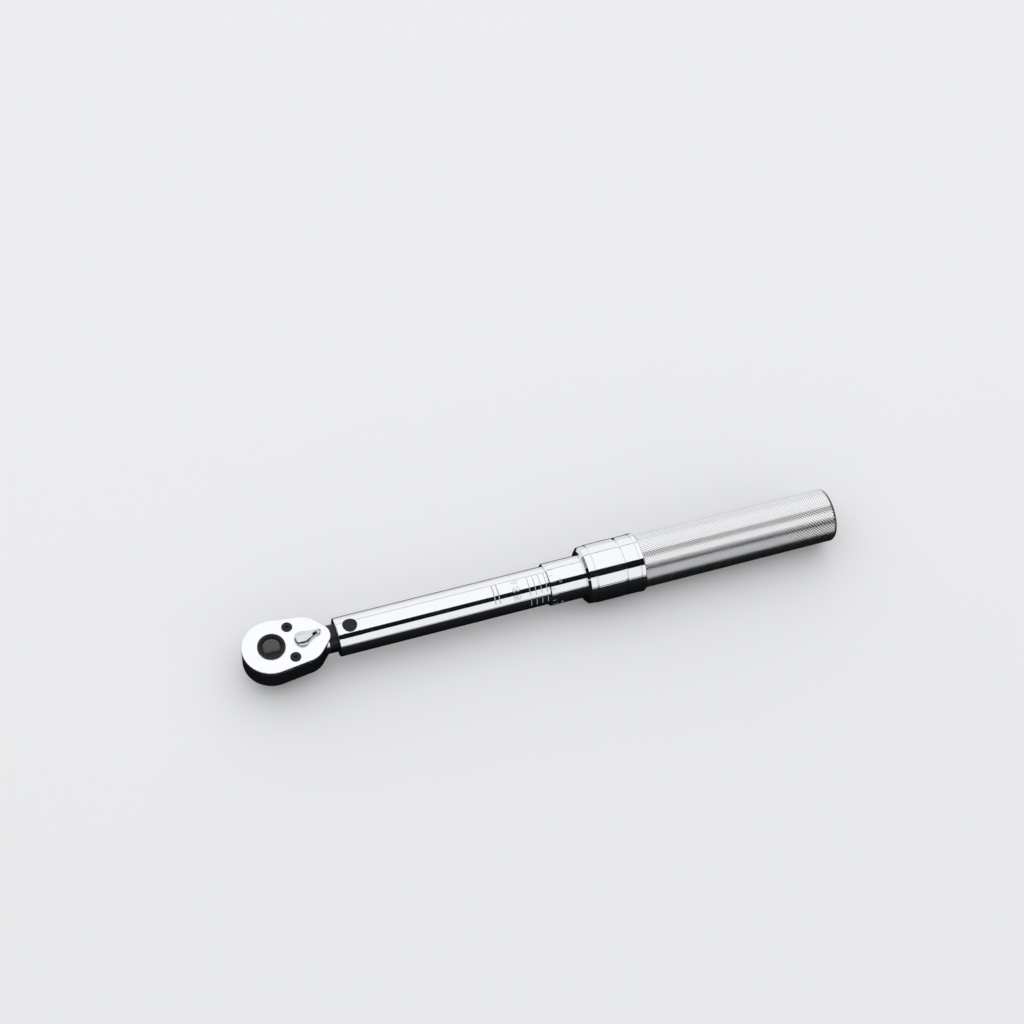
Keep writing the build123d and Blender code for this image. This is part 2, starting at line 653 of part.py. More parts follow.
def make_adjusting_screw():
    """Screw through the nut, with a cupped nose and a reduced shank in the grip's web."""
    tail = WEB_REAR + LOCK_NUT_THICKNESS + SCREW_TAIL
    screw = turned([
        (SCREW_NOSE, 0),
        (SCREW_NOSE, SCREW_MAIN_R - SCREW_EDGE),
        (SCREW_NOSE + SCREW_EDGE, SCREW_MAIN_R),
        (WEB_FRONT, SCREW_MAIN_R),
        (WEB_FRONT, SHANK_R),
        (tail, SHANK_R),
        (tail, 0),
    ])
    return screw - thrust_cup()


def nut_pin_blanks(top):
    """Two radial pins, one each side, from inside the nut's wall to a radius."""
    pins = []
    for side in (-1, 1):
        length = top - SCREW_MAIN_R - NUT_PIN_WALL
        pin = Cylinder(NUT_PIN_R, length)
        y = side * (top - length / 2)
        x = TUBE_REAR - NUT_LENGTH / 2
        pins.append(Pos(x, y, AXIS_Z) * Rot(90, 0, 0) * pin)
    return Compound(pins)


def make_adjusting_nut():
    """Nut in the tube's rear, its flange against the tube's end."""
    bore = SCREW_MAIN_R + RUN
    nut = turned([
        (TUBE_REAR - NUT_LENGTH, bore),
        (TUBE_REAR - NUT_LENGTH, BORE_R),
        (TUBE_REAR, BORE_R),
        (TUBE_REAR, TUBE_R - TUBE_EDGE),
        (TUBE_REAR + NUT_FLANGE, TUBE_R - TUBE_EDGE),
        (TUBE_REAR + NUT_FLANGE, bore),
    ])
    return nut - nut_pin_blanks(TUBE_R + 1)


def make_nut_pins():
    """Pins that hold the nut in the tube, below its surface."""
    return nut_pin_blanks(TUBE_R - NUT_PIN_SINK)


def make_thimble():
    """Thin sleeve on the tube; its bevelled front edge reads the scale."""
    sleeve = turned([
        (THIMBLE_START, THIMBLE_BORE_R),
        (THIMBLE_START, THIMBLE_R - THIMBLE_BEVEL),
        (THIMBLE_START + THIMBLE_BEVEL, THIMBLE_R),
        (THIMBLE_END, THIMBLE_R),
        (THIMBLE_END, THIMBLE_BORE_R),
    ])
    hole = Cylinder(LOCK_BALL_R + RUN, 2 * THIMBLE_R + 2)
    return sleeve - Pos(LOCK_BALL_X, 0, AXIS_Z) * Rot(90, 0, 0) * hole


def make_grip():
    """Hollow grip: pressed over the thimble, webbed near its rear end."""
    inner = THIMBLE_R - GRIP_BORE_STEP
    grip = turned([
        (GRIP_FRONT, THIMBLE_R),
        (GRIP_FRONT, GRIP_R - GRIP_EDGE / 2),
        (GRIP_FRONT + GRIP_EDGE / 2, GRIP_R),
        (GRIP_REAR - GRIP_EDGE, GRIP_R),
        (GRIP_REAR, GRIP_R - GRIP_EDGE),
        (GRIP_REAR, CAP_R),
        (WEB_REAR, CAP_R),
        (WEB_REAR, SHANK_R),
        (WEB_FRONT, SHANK_R),
        (WEB_FRONT, inner),
        (THIMBLE_END, inner),
        (THIMBLE_END, THIMBLE_R),
    ])
    return grip


def make_screw_lock_nut():
    """Hexagon nut that clamps the screw in the web."""
    nut = extrude(RegularPolygon(LOCK_NUT_FLATS / 2, 6, major_radius=False), LOCK_NUT_THICKNESS)
    nut -= upright(SHANK_R, 0, LOCK_NUT_THICKNESS)
    return along_barrel(nut, WEB_REAR)


def make_end_cap():
    """Plug in the grip's rear end, with a shallow dish."""
    return turned([
        (CAP_REAR - CAP_THICKNESS, 0),
        (CAP_REAR - CAP_THICKNESS, CAP_R),
        (CAP_REAR - CAP_EDGE, CAP_R),
        (CAP_REAR, CAP_R - CAP_EDGE),
        (CAP_REAR, CAP_R - CAP_RIM),
        (CAP_REAR - CAP_DISH, CAP_R - CAP_RIM - CAP_DISH),
        (CAP_REAR - CAP_DISH, 0),
    ])


def make_lock_ring():
    """Stepped ring: a land on the thimble, a cone over the balls, a skirt over the grip."""
    front_r = RING_R - BAND_STEP
    groove_end = GROOVE_AT + GROOVE_WIDTH
    rear = RING_LENGTH - REAR_BAND
    ball_top = LOCK_BALL_CENTRE + LOCK_BALL_R * sqrt(1 + CONE_SLOPE**2) + LOCK_BALL_LIFT
    cone_start = LOCK_BALL_AT - RING_TRAVEL - LOCK_BALL_R
    cone_end = LOCK_BALL_AT + LOCK_BALL_R
    spring_r = lock_spring_mean() + LOCK_WIRE_R + 4 * RUN
    fine_end = NOSE_BAND + FINE_GROOVE
    outer = [
        (0, front_r - NOSE_EDGE_DROP),
        (RING_CHAMFER, front_r - NOSE_DROP),
        (NOSE_BAND, front_r - NOSE_END_DROP),
        (NOSE_BAND + FINE_GROOVE_SLOPE, front_r - FINE_GROOVE_DROP),
        (fine_end - FINE_GROOVE_SLOPE, front_r - FINE_GROOVE_DROP),
        (fine_end, front_r),
        (GROOVE_AT, front_r),
        (GROOVE_AT, front_r - GROOVE_DEPTH),
        (groove_end, front_r - GROOVE_DEPTH),
        (groove_end, front_r),
        (rear - REAR_GROOVE, front_r),
        (rear - REAR_GROOVE, front_r - REAR_GROOVE_DEPTH),
        (rear, front_r - REAR_GROOVE_DEPTH),
        (rear, RING_R),
        (RING_LENGTH - RING_CHAMFER / 2, RING_R),
        (RING_LENGTH, RING_R - RING_CHAMFER / 2),
    ]
    inner = [
        (RING_LENGTH, SKIRT_R),
        (SKIRT_AT, SKIRT_R),
        (SKIRT_AT, spring_r),
        (SHOULDER_AT, spring_r),
        (SHOULDER_AT, ball_top + CONE_SLOPE * (LOCK_BALL_AT - cone_end)),
        (cone_end, ball_top + CONE_SLOPE * (LOCK_BALL_AT - cone_end)),
        (cone_start, ball_top + CONE_SLOPE * (LOCK_BALL_AT - cone_start)),
        (NOSE_LAND, ball_top + CONE_SLOPE * (LOCK_BALL_AT - cone_start)),
        (NOSE_LAND, THIMBLE_R + SLIDE),
        (0, THIMBLE_R + SLIDE),
    ]
    return turned([(RING_FRONT + x, r) for x, r in outer + inner])


def lock_spring_mean():
    """Mean radius of the lock spring, centred between thimble and grip radius."""
    return (THIMBLE_R + GRIP_R) / 2 + LOCK_WIRE_R


def make_lock_spring():
    """Coil that pushes the lock ring forward, off the grip's front face."""
    start = RING_FRONT + SHOULDER_AT
    return along_barrel(coil(lock_spring_mean(), LOCK_WIRE_R, GRIP_FRONT - start, LOCK_COILS), start)


def make_lock_ball(side):
    """Ball in the thimble's wall, over a groove of the tube."""
    return Pos(LOCK_BALL_X, side * LOCK_BALL_CENTRE, AXIS_Z) * Sphere(LOCK_BALL_R)


PARTS = {
    "ratchet_head": make_ratchet_head,
    "cover_plate": make_cover_plate,
    "cover_screws": make_cover_screws,
    "drive_gear": make_drive_gear,
    "release_button": make_release_button,
    "button_ring": make_button_ring,
    "release_spring": make_release_spring,
    "detent_ball": make_detent_ball,
    "reversing_lever": make_reversing_lever,
    "lever_clip": make_lever_clip,
    "pawl": make_pawl,
    "pawl_ball": make_pawl_ball,
    "pawl_spring": make_pawl_spring,
    "tube": make_tube,
    "pivot_pin": make_pivot_pin,
    "click_block": make_click_block,
    "plunger": make_plunger,
    "main_spring": make_main_spring,
    "spring_seat": make_spring_seat,
    "thrust_ball": make_thrust_ball,
    "adjusting_screw": make_adjusting_screw,
    "adjusting_nut": make_adjusting_nut,
    "nut_pins": make_nut_pins,
    "thimble": make_thimble,
    "grip": make_grip,
    "screw_lock_nut": make_screw_lock_nut,
    "end_cap": make_end_cap,
    "lock_ring": make_lock_ring,
    "lock_spring": make_lock_spring,
    "lock_ball_1": lambda: make_lock_ball(1),
    "lock_ball_2": lambda: make_lock_ball(-1),
}

os.makedirs("parts", exist_ok=True)
for name, make in PARTS.items():
    export_step(make(), f"parts/{name}.step")
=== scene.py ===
from math import asin, atan2, cos, pi, radians, sin, sqrt

import bmesh
import bpy
import numpy as np
from mathutils import Matrix, Vector


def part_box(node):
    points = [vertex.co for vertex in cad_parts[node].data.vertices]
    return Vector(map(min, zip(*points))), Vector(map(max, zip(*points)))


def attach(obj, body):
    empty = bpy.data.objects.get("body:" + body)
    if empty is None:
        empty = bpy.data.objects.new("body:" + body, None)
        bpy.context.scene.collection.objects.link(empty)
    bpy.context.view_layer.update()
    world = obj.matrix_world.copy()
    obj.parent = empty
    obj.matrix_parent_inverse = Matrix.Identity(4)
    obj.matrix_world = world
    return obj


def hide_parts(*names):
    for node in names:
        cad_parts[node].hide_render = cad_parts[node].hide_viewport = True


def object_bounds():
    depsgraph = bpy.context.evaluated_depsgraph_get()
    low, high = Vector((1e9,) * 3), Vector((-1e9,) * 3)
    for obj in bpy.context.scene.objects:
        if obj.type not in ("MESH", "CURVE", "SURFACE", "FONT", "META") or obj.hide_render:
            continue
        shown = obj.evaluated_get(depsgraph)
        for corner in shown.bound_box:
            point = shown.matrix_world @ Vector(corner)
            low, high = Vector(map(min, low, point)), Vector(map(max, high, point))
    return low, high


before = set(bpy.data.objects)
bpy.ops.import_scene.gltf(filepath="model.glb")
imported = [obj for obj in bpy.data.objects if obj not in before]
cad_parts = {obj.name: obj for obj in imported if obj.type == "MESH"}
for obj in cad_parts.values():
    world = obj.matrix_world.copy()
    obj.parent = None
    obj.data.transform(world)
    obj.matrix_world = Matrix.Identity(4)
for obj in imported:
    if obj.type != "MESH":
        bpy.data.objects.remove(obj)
cad_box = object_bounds()

# ---------------------------------------------------------------- Drive gear
# Hardened steel, black-oxided: a toothed ring between two bosses, with the
# square drive in one piece. It turns in the head; rubbing leaves its corners bare.
MM = 0.001
SMOOTH_TO = 32.0  # degrees between faces, past which an edge stays sharp
DOUBLED = 0.0004  # CAD points nearer than this are one
BEVEL_FROM = 40.0  # degrees between faces, from which an edge is broken
BEVEL_STEPS = 2
FLATS_FIRST = 100  # how far a large flat face outweighs its bevels in the shading
GEAR_BEVEL = 0.12
SQUARE_HALF = 3.175
OXIDE_COAT = ((0.004, 0.0045, 0.0055, 1), (0.009, 0.010, 0.012, 1))
OXIDE_ROUGHNESS = 0.22
BLOTCH = 1.6  # size of the coat's blotches
BLOTCH_ROUGHNESS = 0.1
OXIDE_GRAIN = 0.09
OXIDE_GRAIN_DEPTH = 0.004
SHOWS_THROUGH = 0.12  # most steel that handling lets show in a blotch
BARE_STEEL = (0.52, 0.51, 0.50, 1)
WEAR_GRAIN = 0.8
CORNER_WEAR = (1.78, 2.02)  # |x| + |y|, in halves of the square, where steel begins to show and is bare
WEAR_BELOW = (0.1, 0.8)  # depth under the boss over which the wear sets in
WEAR_RAGGED = 1.2


class Signal:
    """A node's output that can be used in sums: +, -, *, / and powers add Math nodes."""

    def __init__(self, finish, socket):
        self.finish = finish
        self.socket = socket

    def maths(self, operation, first, second=0.0):
        return self.finish.node("Math", {"operation": operation}, {0: first, 1: second})

    def __add__(self, other):
        return self.maths("ADD", self, other)

    def __sub__(self, other):
        return self.maths("SUBTRACT", self, other)

    def __rsub__(self, other):
        return self.maths("SUBTRACT", other, self)

    def __mul__(self, other):
        return self.maths("MULTIPLY", self, other)

    def __pow__(self, other):
        return self.maths("POWER", self, other)

    def size(self):
        return self.maths("ABSOLUTE", self)

    def ramp(self, low, high):
        """0 below low, 1 above high, eased between them."""
        given = {"Value": self, "From Min": low, "From Max": high}
        return self.finish.node("MapRange", {"interpolation_type": "SMOOTHSTEP"}, given)

    __radd__ = __add__
    __rmul__ = __mul__


class Finish:
    """One material: a Principled shader, and the nodes that feed it."""

    def __init__(self, name, **sockets):
        self.material = bpy.data.materials.new(name)
        self.material.use_nodes = True
        self.tree = self.material.node_tree
        self.tree.nodes.clear()
        self.shader = self.tree.nodes.new("ShaderNodeBsdfPrincipled")
        output = self.tree.nodes.new("ShaderNodeOutputMaterial")
        self.tree.links.new(self.shader.outputs[0], output.inputs[0])
        self.set(**sockets)

    def feed(self, socket, value):
        if isinstance(value, Signal):
            self.tree.links.new(value.socket, socket)
        else:
            socket.default_value = value

    def node(self, kind, settings, values, output=0):
        """One node of any kind: settings first, then values or links by socket; gives one output."""
        made = self.tree.nodes.new("ShaderNode" + kind)
        for name, value in settings.items():
            setattr(made, name, value)
        for name, value in values.items():
            self.feed(made.inputs[name], value)
        return Signal(self, made.outputs[output])

    def set(self, **sockets):
        """Sets or links sockets of the shader, named with _ for a space."""
        for name, value in sockets.items():
            self.feed(self.shader.inputs[name.replace("_", " ")], value)
        return self

    def place(self):
        """The point in the row frame, in metres, before any pose."""
        return self.node("TexCoord", {}, {}, "Object")

    def along(self, axis):
        """One coordinate of the point, in millimetres."""
        return self.node("SeparateXYZ", {}, {0: self.place()}, axis) * (1 / MM)

    def noise(self, grain, detail=3.0, stretch=(1, 1, 1)):
        """Noise from 0 to 1 with lumps about grain millimetres wide, stretched along the axes."""
        scale = {"Vector": self.place(), "Scale": [1 / s for s in stretch]}
        moved = self.node("Mapping", {}, scale)
        return self.node("TexNoise", {}, {"Vector": moved, "Scale": 1 / (grain * MM), "Detail": detail})

    def blend(self, share, first, second):
        """Mix of two colours or links."""
        values = {0: share, 6: first, 7: second}
        return self.node("Mix", {"data_type": "RGBA"}, values, 2)

    def bump(self, height, depth, strength=1.0, under=None):
        """Normal tilted by a height signal, full scale being depth millimetres."""
        values = {"Height": height, "Distance": depth * MM, "Strength": strength}
        if under is not None:
            values["Normal"] = under
        return self.node("Bump", {}, values)


def black_oxide(name, wear=None, gloss=1.34):
    """Blue-black conversion coat on steel: near black, satin, a little blotchy, bare where it is worn."""
    finish = Finish(name, IOR=gloss)
    blotch = finish.noise(BLOTCH)
    grain = finish.noise(OXIDE_GRAIN, detail=2.0)
    worn = blotch.ramp(low=0.64, high=0.9) * SHOWS_THROUGH if wear is None else wear(finish)
    coat = finish.blend(blotch, *OXIDE_COAT)
    finish.set(
        Base_Color=finish.blend(worn, coat, BARE_STEEL),
        Metallic=worn,
        Roughness=OXIDE_ROUGHNESS + blotch * BLOTCH_ROUGHNESS,
        Normal=finish.bump(grain, OXIDE_GRAIN_DEPTH),
    )
    return finish.material


def square_wear(finish):
    """Bare steel along the four corners of the square and on its nose."""
    corner = finish.along("X").size() + finish.along("Y").size()
    below = (0.0 - finish.along("Z")).ramp(*WEAR_BELOW)
    rubbed = finish.noise(WEAR_GRAIN, detail=4.0) * WEAR_RAGGED
    shows, painted_shade = (share * SQUARE_HALF for share in CORNER_WEAR)
    return (corner + rubbed).ramp(shows, painted_shade) * below


def finished(piece, smooth_to=SMOOTH_TO):
    """Smooth shading between faces that meet at a small angle."""
    piece.data.shade_smooth()
    piece.data.set_sharp_from_angle(angle=radians(smooth_to))


def recut(node, name, bevel=0.0):
    """A CAD node's mesh again with its doubled points merged, flats kept flat and edges broken."""
    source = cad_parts[node]
    mesh = bpy.data.meshes.new(name)
    work = bmesh.new()
    work.from_mesh(source.data)
    bmesh.ops.remove_doubles(work, verts=work.verts, dist=DOUBLED * MM)
    work.to_mesh(mesh)
    work.free()
    mesh.materials.clear()
    piece = bpy.data.objects.new(name, mesh)
    bpy.context.scene.collection.objects.link(piece)
    finished(piece)
    if bevel:
        edge = piece.modifiers.new("edge", "BEVEL")
        edge.width = bevel * MM
        edge.segments = BEVEL_STEPS
        edge.limit_method = "ANGLE"
        edge.angle_limit = radians(BEVEL_FROM)
        edge.harden_normals = False
    level = piece.modifiers.new("flats", "WEIGHTED_NORMAL")
    level.keep_sharp = True
    level.weight = FLATS_FIRST
    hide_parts(node)
    return piece


gear = recut("drive_gear", "drive_gear_black", GEAR_BEVEL)
gear.data.materials.append(black_oxide("black_oxide_drive", square_wear))
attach(gear, "drive")

# ------------------------------------------------- Release button and catch
# Turned steel, black-oxided: a domed button on a long stem, held by a snap ring
# in the boss and lifted by a light coil. Pressing it lets the catch ball drop in.
AROUND = 160  # steps round a turned piece
WELD = 0.0007  # points of a skin nearer than this are one
LEG_SHARE = 0.45  # most of a straight that one rounded corner may take
LONG_RUN = 4.0  # radii, past which a straight gets a point near each end
HOLD = 0.25  # radii from that end to the point


def skin(name, *grids, cut=()):
    """Closed mesh from grids of points in millimetres, each (rows, columns, 3).

    Every cell of a grid is a face. Points nearer than the weld are one point, a cell with two
    corners alike becomes a triangle, and a cell of a grid in cut is split along the diagonal
    that joins its even corners. Faces are then turned to look outwards.
    """
    points, cells, start = [], [], 0
    for grid in (*grids, *cut):
        rows, columns = grid.shape[:2]
        at = start + np.arange(rows * columns).reshape(rows, columns)
        corners = np.stack([at[:-1, :-1], at[1:, :-1], at[1:, 1:], at[:-1, 1:]], -1)
        if any(grid is g for g in cut):
            even = np.add.outer(np.arange(rows - 1), np.arange(columns - 1)) % 2 == 0
            turned_cells = np.roll(corners, 1, axis=-1)
            corners = np.where(even[..., None], corners, turned_cells)
            corners = np.stack([corners[..., [0, 1, 2, 2]], corners[..., [0, 2, 3, 3]]])
        cells.append(corners.reshape(-1, 4))
        points.append(grid.reshape(-1, 3))
        start += rows * columns
    points, cells = np.concatenate(points), np.concatenate(cells)
    keys = np.round(points / WELD).astype(np.int64)
    _, first, same = np.unique(keys, axis=0, return_index=True, return_inverse=True)
    cells = same.reshape(-1)[cells]
    alike = cells == np.roll(cells, -1, axis=1)
    crossed = (cells[:, 0] == cells[:, 2]) | (cells[:, 1] == cells[:, 3])
    faces = cells[~alike.any(1) & ~crossed].tolist()
    for side in range(4):
        pinched = cells[alike[:, side] & (alike.sum(1) == 1) & ~crossed]
        faces += np.delete(pinched, side, axis=1).tolist()
    mesh = bpy.data.meshes.new(name)
    mesh.from_pydata(points[first] * MM, [], faces)
    work = bmesh.new()
    work.from_mesh(mesh)
    bmesh.ops.recalc_face_normals(work, faces=work.faces)
    work.to_mesh(mesh)
    work.free()
    piece = bpy.data.objects.new(name, mesh)
    bpy.context.scene.collection.objects.link(piece)
    finished(piece)
    return piece


def eased(corners, radius=0.15, steps=4):
    """A profile's corners rounded by quadratic curves, with a point held near each run's ends."""
    corners = np.array(corners, float)
    out = [corners[:1]]
    for before, corner, after in zip(corners[:-2], corners[1:-1], corners[2:]):
        legs = [before - corner, after - corner]
        spans = [np.linalg.norm(leg) for leg in legs]
        reach = [min(radius, LEG_SHARE * span) for span in spans]
        a, b = (corner + leg / span * r for leg, span, r in zip(legs, spans, reach))
        t = np.linspace(0, 1, steps + 1)[:, None]
        out.append((1 - t) ** 2 * a + 2 * t * (1 - t) * corner + t**2 * b)
    out.append(corners[-1:])
    path = np.concatenate(out)
    run = np.concatenate([[0], np.cumsum(np.linalg.norm(np.diff(path, axis=0), axis=1))])
    long = np.diff(run) > LONG_RUN * radius
    hold = HOLD * radius
    stations = np.sort(np.concatenate([run, run[:-1][long] + hold, run[1:][long] - hold]))
    return np.column_stack([np.interp(stations, run, path[:, i]) for i in (0, 1)])


def circle(around):
    """Angles in even steps once round, the last being the first again."""
    turn = np.linspace(0, 2 * pi, around + 1)
    turn[-1] = 0.0
    return turn


def spun(profile, x=0.0, y=0.0, around=AROUND):
    """Upright lathe work: each (radius, height) of the profile carried round the axis at x, y."""
    turn = circle(around)
    radius, height = np.array(profile, float).T[:, :, None]
    level = height * np.ones_like(turn)
    return np.stack([x + radius * np.cos(turn), y + radius * np.sin(turn), level], -1)


def dome(rim_r, rim_z, rise, rings=24):
    """Profile of a spherical crown from its rim up to the axis."""
    sphere = (rim_r**2 + rise**2) / (2 * rise)
    lean = np.linspace(asin(rim_r / sphere), 0, rings)
    return np.column_stack([sphere * np.sin(lean), rim_z + rise - sphere + sphere * np.cos(lean)])


BUTTON_R = 4.3
BUTTON_RIM = 12.75
BUTTON_DOME = 1.6
BUTTON_FLANGE = (4.85, 11.85, 12.55)  # radius, underside, top
BUTTON_EDGE = 0.1
BUTTON_GLOSS = 1.75
STEM = (1.25, -4.8, -4.18)  # radius, lower end, start of the waist
WAIST = (0.576, -2.03, -1.2, 0.575)  # radius, from, to, run out
stem_corners = [
    (0, STEM[1]), (STEM[0], STEM[1]), (STEM[0], STEM[2]), (WAIST[0], WAIST[1]),
    (WAIST[0], WAIST[2]), (STEM[0], WAIST[3] - STEM[0]), (STEM[0], BUTTON_FLANGE[1]),
    (BUTTON_FLANGE[0], BUTTON_FLANGE[1]), (BUTTON_FLANGE[0], BUTTON_FLANGE[2]),
    (BUTTON_R, BUTTON_FLANGE[2]), (BUTTON_R, BUTTON_RIM),
]
crown = dome(BUTTON_R, BUTTON_RIM, BUTTON_DOME)
button_profile = eased(stem_corners + [tuple(crown[1])], BUTTON_EDGE)
button = skin("release_button_domed", spun(np.concatenate([button_profile, crown[2:]])))
button.data.materials.append(black_oxide("black_oxide_button", gloss=BUTTON_GLOSS))
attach(button, "button")
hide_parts("release_button")


CLOUD = 2.4  # size of the cloudy patches on ground steel
CLOUD_SHADE = 0.72  # how dark they are
CLOUD_ROUGHNESS = 0.1
GROUND_GRAIN = 0.05
GROUND_DEPTH = 0.003


def ground_steel(name, colour, roughness):
    """Bare ground steel: fine grain, faint cloudiness and a trace of oil."""
    finish = Finish(name, Metallic=1.0)
    cloud = finish.noise(CLOUD)
    grain = finish.noise(GROUND_GRAIN, detail=2.0, stretch=(6, 1, 1))
    darker = [c * CLOUD_SHADE for c in colour[:3]] + [1]
    finish.set(
        Base_Color=finish.blend(cloud, darker, colour),
        Roughness=roughness + cloud * CLOUD_ROUGHNESS,
        Normal=finish.bump(grain, GROUND_DEPTH),
    )
    return finish.material


def dress(node, material):
    """Gives a CAD node that keeps its shape its finish."""
    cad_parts[node].material_slots[0].material = material


BALL_R = 1.2
BALL_RINGS = 40
BALL_AROUND = 64
BALL_STEEL = (0.7, 0.7, 0.69, 1)
SPRING_STEEL = (0.30, 0.29, 0.28, 1)
lean = np.linspace(-pi / 2, pi / 2, BALL_RINGS)
ball_x, ball_y, ball_z = (sum(c[i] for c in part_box("detent_ball")) / 2 / MM for i in range(3))
ball_profile = np.column_stack([BALL_R * np.cos(lean), ball_z + BALL_R * np.sin(lean)])
catch = skin("catch_ball", spun(ball_profile, ball_x, ball_y, BALL_AROUND))
catch.data.materials.append(ground_steel("ground_steel_ball", BALL_STEEL, roughness=0.1))
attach(catch, "socket_catch")
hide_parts("detent_ball")
spring_wire = ground_steel("spring_wire", SPRING_STEEL, roughness=0.3)
dress("button_ring", black_oxide("black_oxide_ring"))
dress("release_spring", spring_wire)

# --------------------------------------------------- Pawl and what drives it
# A hardened pawl rocks behind the gear; a spring and ball in the lever's stem
# snap it from one end to the other. A snap ring holds the stem under the plate.
HARDENED_STEEL = (0.33, 0.32, 0.31, 1)
PAWL_BALL_STEEL = (0.62, 0.62, 0.61, 1)
hardened = ground_steel("hardened_steel", HARDENED_STEEL, roughness=0.3)
dress("pawl", hardened)
dress("pawl_ball", ground_steel("pawl_ball_steel", PAWL_BALL_STEEL, roughness=0.12))
dress("pawl_spring", spring_wire)
dress("lever_clip", hardened)

# -------------------------------------------------------------- Ratchet head
# Forged alloy steel, ground and chrome plated: a teardrop body with the gear's
# and pawl's pockets, and a round neck with a tang that enters the barrel.
HEAD_BEVEL = 0.15
NECK_FROM = 23.9
SHADE_FADE = 0.15  # half the width over which the painted shade sets in at the neck
CHROME_PLATE = (0.83, 0.84, 0.85, 1)
# Painted shade: the neck and tang are coloured near black as shade, not as a finish of their own.
NECK_PAINTED_SHADE = (0.035, 0.036, 0.038, 1)
NECK_SHADE_ROUGHNESS = 0.35
SMEAR, SMEAR_ROUGHNESS = 9.0, 0.05  # size of the smears, and the roughness they add
SPECK, SPECK_ROUGHNESS = 0.5, 0.02
RIPPLE = 14.0
HAIR, HAIR_DEPTH = 0.12, 0.0006


def chrome(name, roughness=0.05, wave=0.012, colour=CHROME_PLATE, painted_shade=None):
    """Polished chrome plate: a near mirror with faint smears, hair marks and a slow ripple.

    Where painted_shade is 1 the surface is painted near black and matt as shade instead.
    """
    finish = Finish(name, Metallic=1.0, Base_Color=colour)
    smear = finish.noise(SMEAR, detail=5.0).ramp(low=0.42, high=0.78)
    speck = finish.noise(SPECK, detail=4.0).ramp(low=0.6, high=0.75)
    ripple = finish.noise(RIPPLE, detail=1.0)
    hair = finish.noise(HAIR, detail=2.0, stretch=(14, 1, 1))
    finish.set(
        Roughness=roughness + smear * SMEAR_ROUGHNESS + speck * SPECK_ROUGHNESS,
        Normal=finish.bump(hair, HAIR_DEPTH, under=finish.bump(ripple, wave)),
    )
    if painted_shade is not None:
        share = painted_shade(finish)
        finish.set(
            Base_Color=finish.blend(share, colour, NECK_PAINTED_SHADE),
            Roughness=roughness + smear * SMEAR_ROUGHNESS + share * NECK_SHADE_ROUGHNESS,
        )
    return finish.material


def neck_in_shade(finish):
    """Painted shade on the neck and tang, behind the forging's blended face."""
    return finish.along("X").ramp(NECK_FROM - SHADE_FADE, NECK_FROM + SHADE_FADE)


head = recut("ratchet_head", "ratchet_head_forging", HEAD_BEVEL)
# The neck and tang take painted shade in the chrome's colour.
head.data.materials.append(chrome("chrome_forging", roughness=0.09, wave=0.03, painted_shade=neck_in_shade))
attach(head, "head")

# --------------------------------------------------------------- Cover plate
# Stamped steel plate, satin-blasted and chrome plated, closing the pockets.
# Two countersunk screws hold it; the boss and the lever's stem pass through it.
PLATE_BEVEL = 0.1
SCREW_BEVEL = 0.06
SATIN_PLATE = (0.88, 0.885, 0.89, 1)
FROST, FROST_ROUGHNESS, FROST_DEPTH = 0.1, 0.06, 0.002
HANDLED_POLISH = 0.05  # roughness that handling takes away
SATIN_HANDLED = (0.836, 0.84075, 0.8455, 1)  # where fingers have left it a shade darker


def satin_chrome(name, roughness=0.27):
    """Blasted and plated steel: bright, even, with a fine frost and slight handling marks."""
    finish = Finish(name, Metallic=1.0)
    frost = finish.noise(FROST, detail=3.0)
    handled = finish.noise(5.0, detail=4.0).ramp(low=0.45, high=0.8)
    finish.set(
        Base_Color=finish.blend(handled, SATIN_PLATE, SATIN_HANDLED),
        Roughness=roughness + frost * FROST_ROUGHNESS - handled * HANDLED_POLISH,
        Normal=finish.bump(frost, FROST_DEPTH),
    )
    return finish.material


plate = recut("cover_plate", "cover_plate_satin", PLATE_BEVEL)
plate.data.materials.append(satin_chrome("satin_chrome_plate"))
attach(plate, "head")

screws = recut("cover_screws", "cover_screws_black", SCREW_BEVEL)
screws.data.materials.append(black_oxide("black_oxide_screws"))
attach(screws, "head")

# ----------------------------------------------------------- Reversing lever
# Cast and polished, chrome plated: a domed hub that runs out into a tapering
# finger tab with a rounded ridge; its stem passes down through the plate.
HUB_R = 3.4
HUB_HEIGHT = 2.3
HUB_WALL = 0.8
HUB_POWER = 0.7  # roundness of the hub's crown
HUB_REACH = 0.99  # share of the way to the rim that the crown's curve is drawn over
TAB_TIP_R = 0.95
TIP_FROM_HUB = 7.55
TAB_HEIGHT = 1.9
TAB_EDGE = 1.15
TAB_FROM, TAB_OVER = 0.05, 0.55  # share of the walk where hub turns to tab, and over how much of it
RIDGE_ROUND = 0.012  # keeps the tab's ridge from being sharp
RIM_SINK = 0.08
WAIST_POWER = 1.7  # how quickly the hub draws in to the tab
WALL_FOOT = 0.15  # share of the rim's height where the wall ends
UNDER_INSET = 0.985
LEVER_EDGE = 0.1
LEVER_AROUND = 96
HUB_STEPS, WALK_STEPS, TIP_STEPS = 40, 24, 16  # points round the hub, along a side, round the tip
LEVER_ROWS, WALL_ROWS, UNDER_ROWS = 22, 4, 6
LEVER_TURN = 12.0  # degrees at rest, off the barrel's axis
LEVER_X = 13.3
LEVER_LOW = np.array(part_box("reversing_lever")[1])[2] / MM - HUB_HEIGHT
LEVER_ROUGHNESS = 0.13
# Painted shade: the lever's chrome is a darker copy of the head's, for the lever's darker look.
LEVER_SHADED_CHROME = (0.66, 0.67, 0.68, 1)
STEM_R = 2.2
STEM_END = (1.5, 1.7)  # radius and lower end of the part that carries the snap ring
STEM_SHOULDER = (2.7, 2.8)
STEM_IN_HUB = 0.4


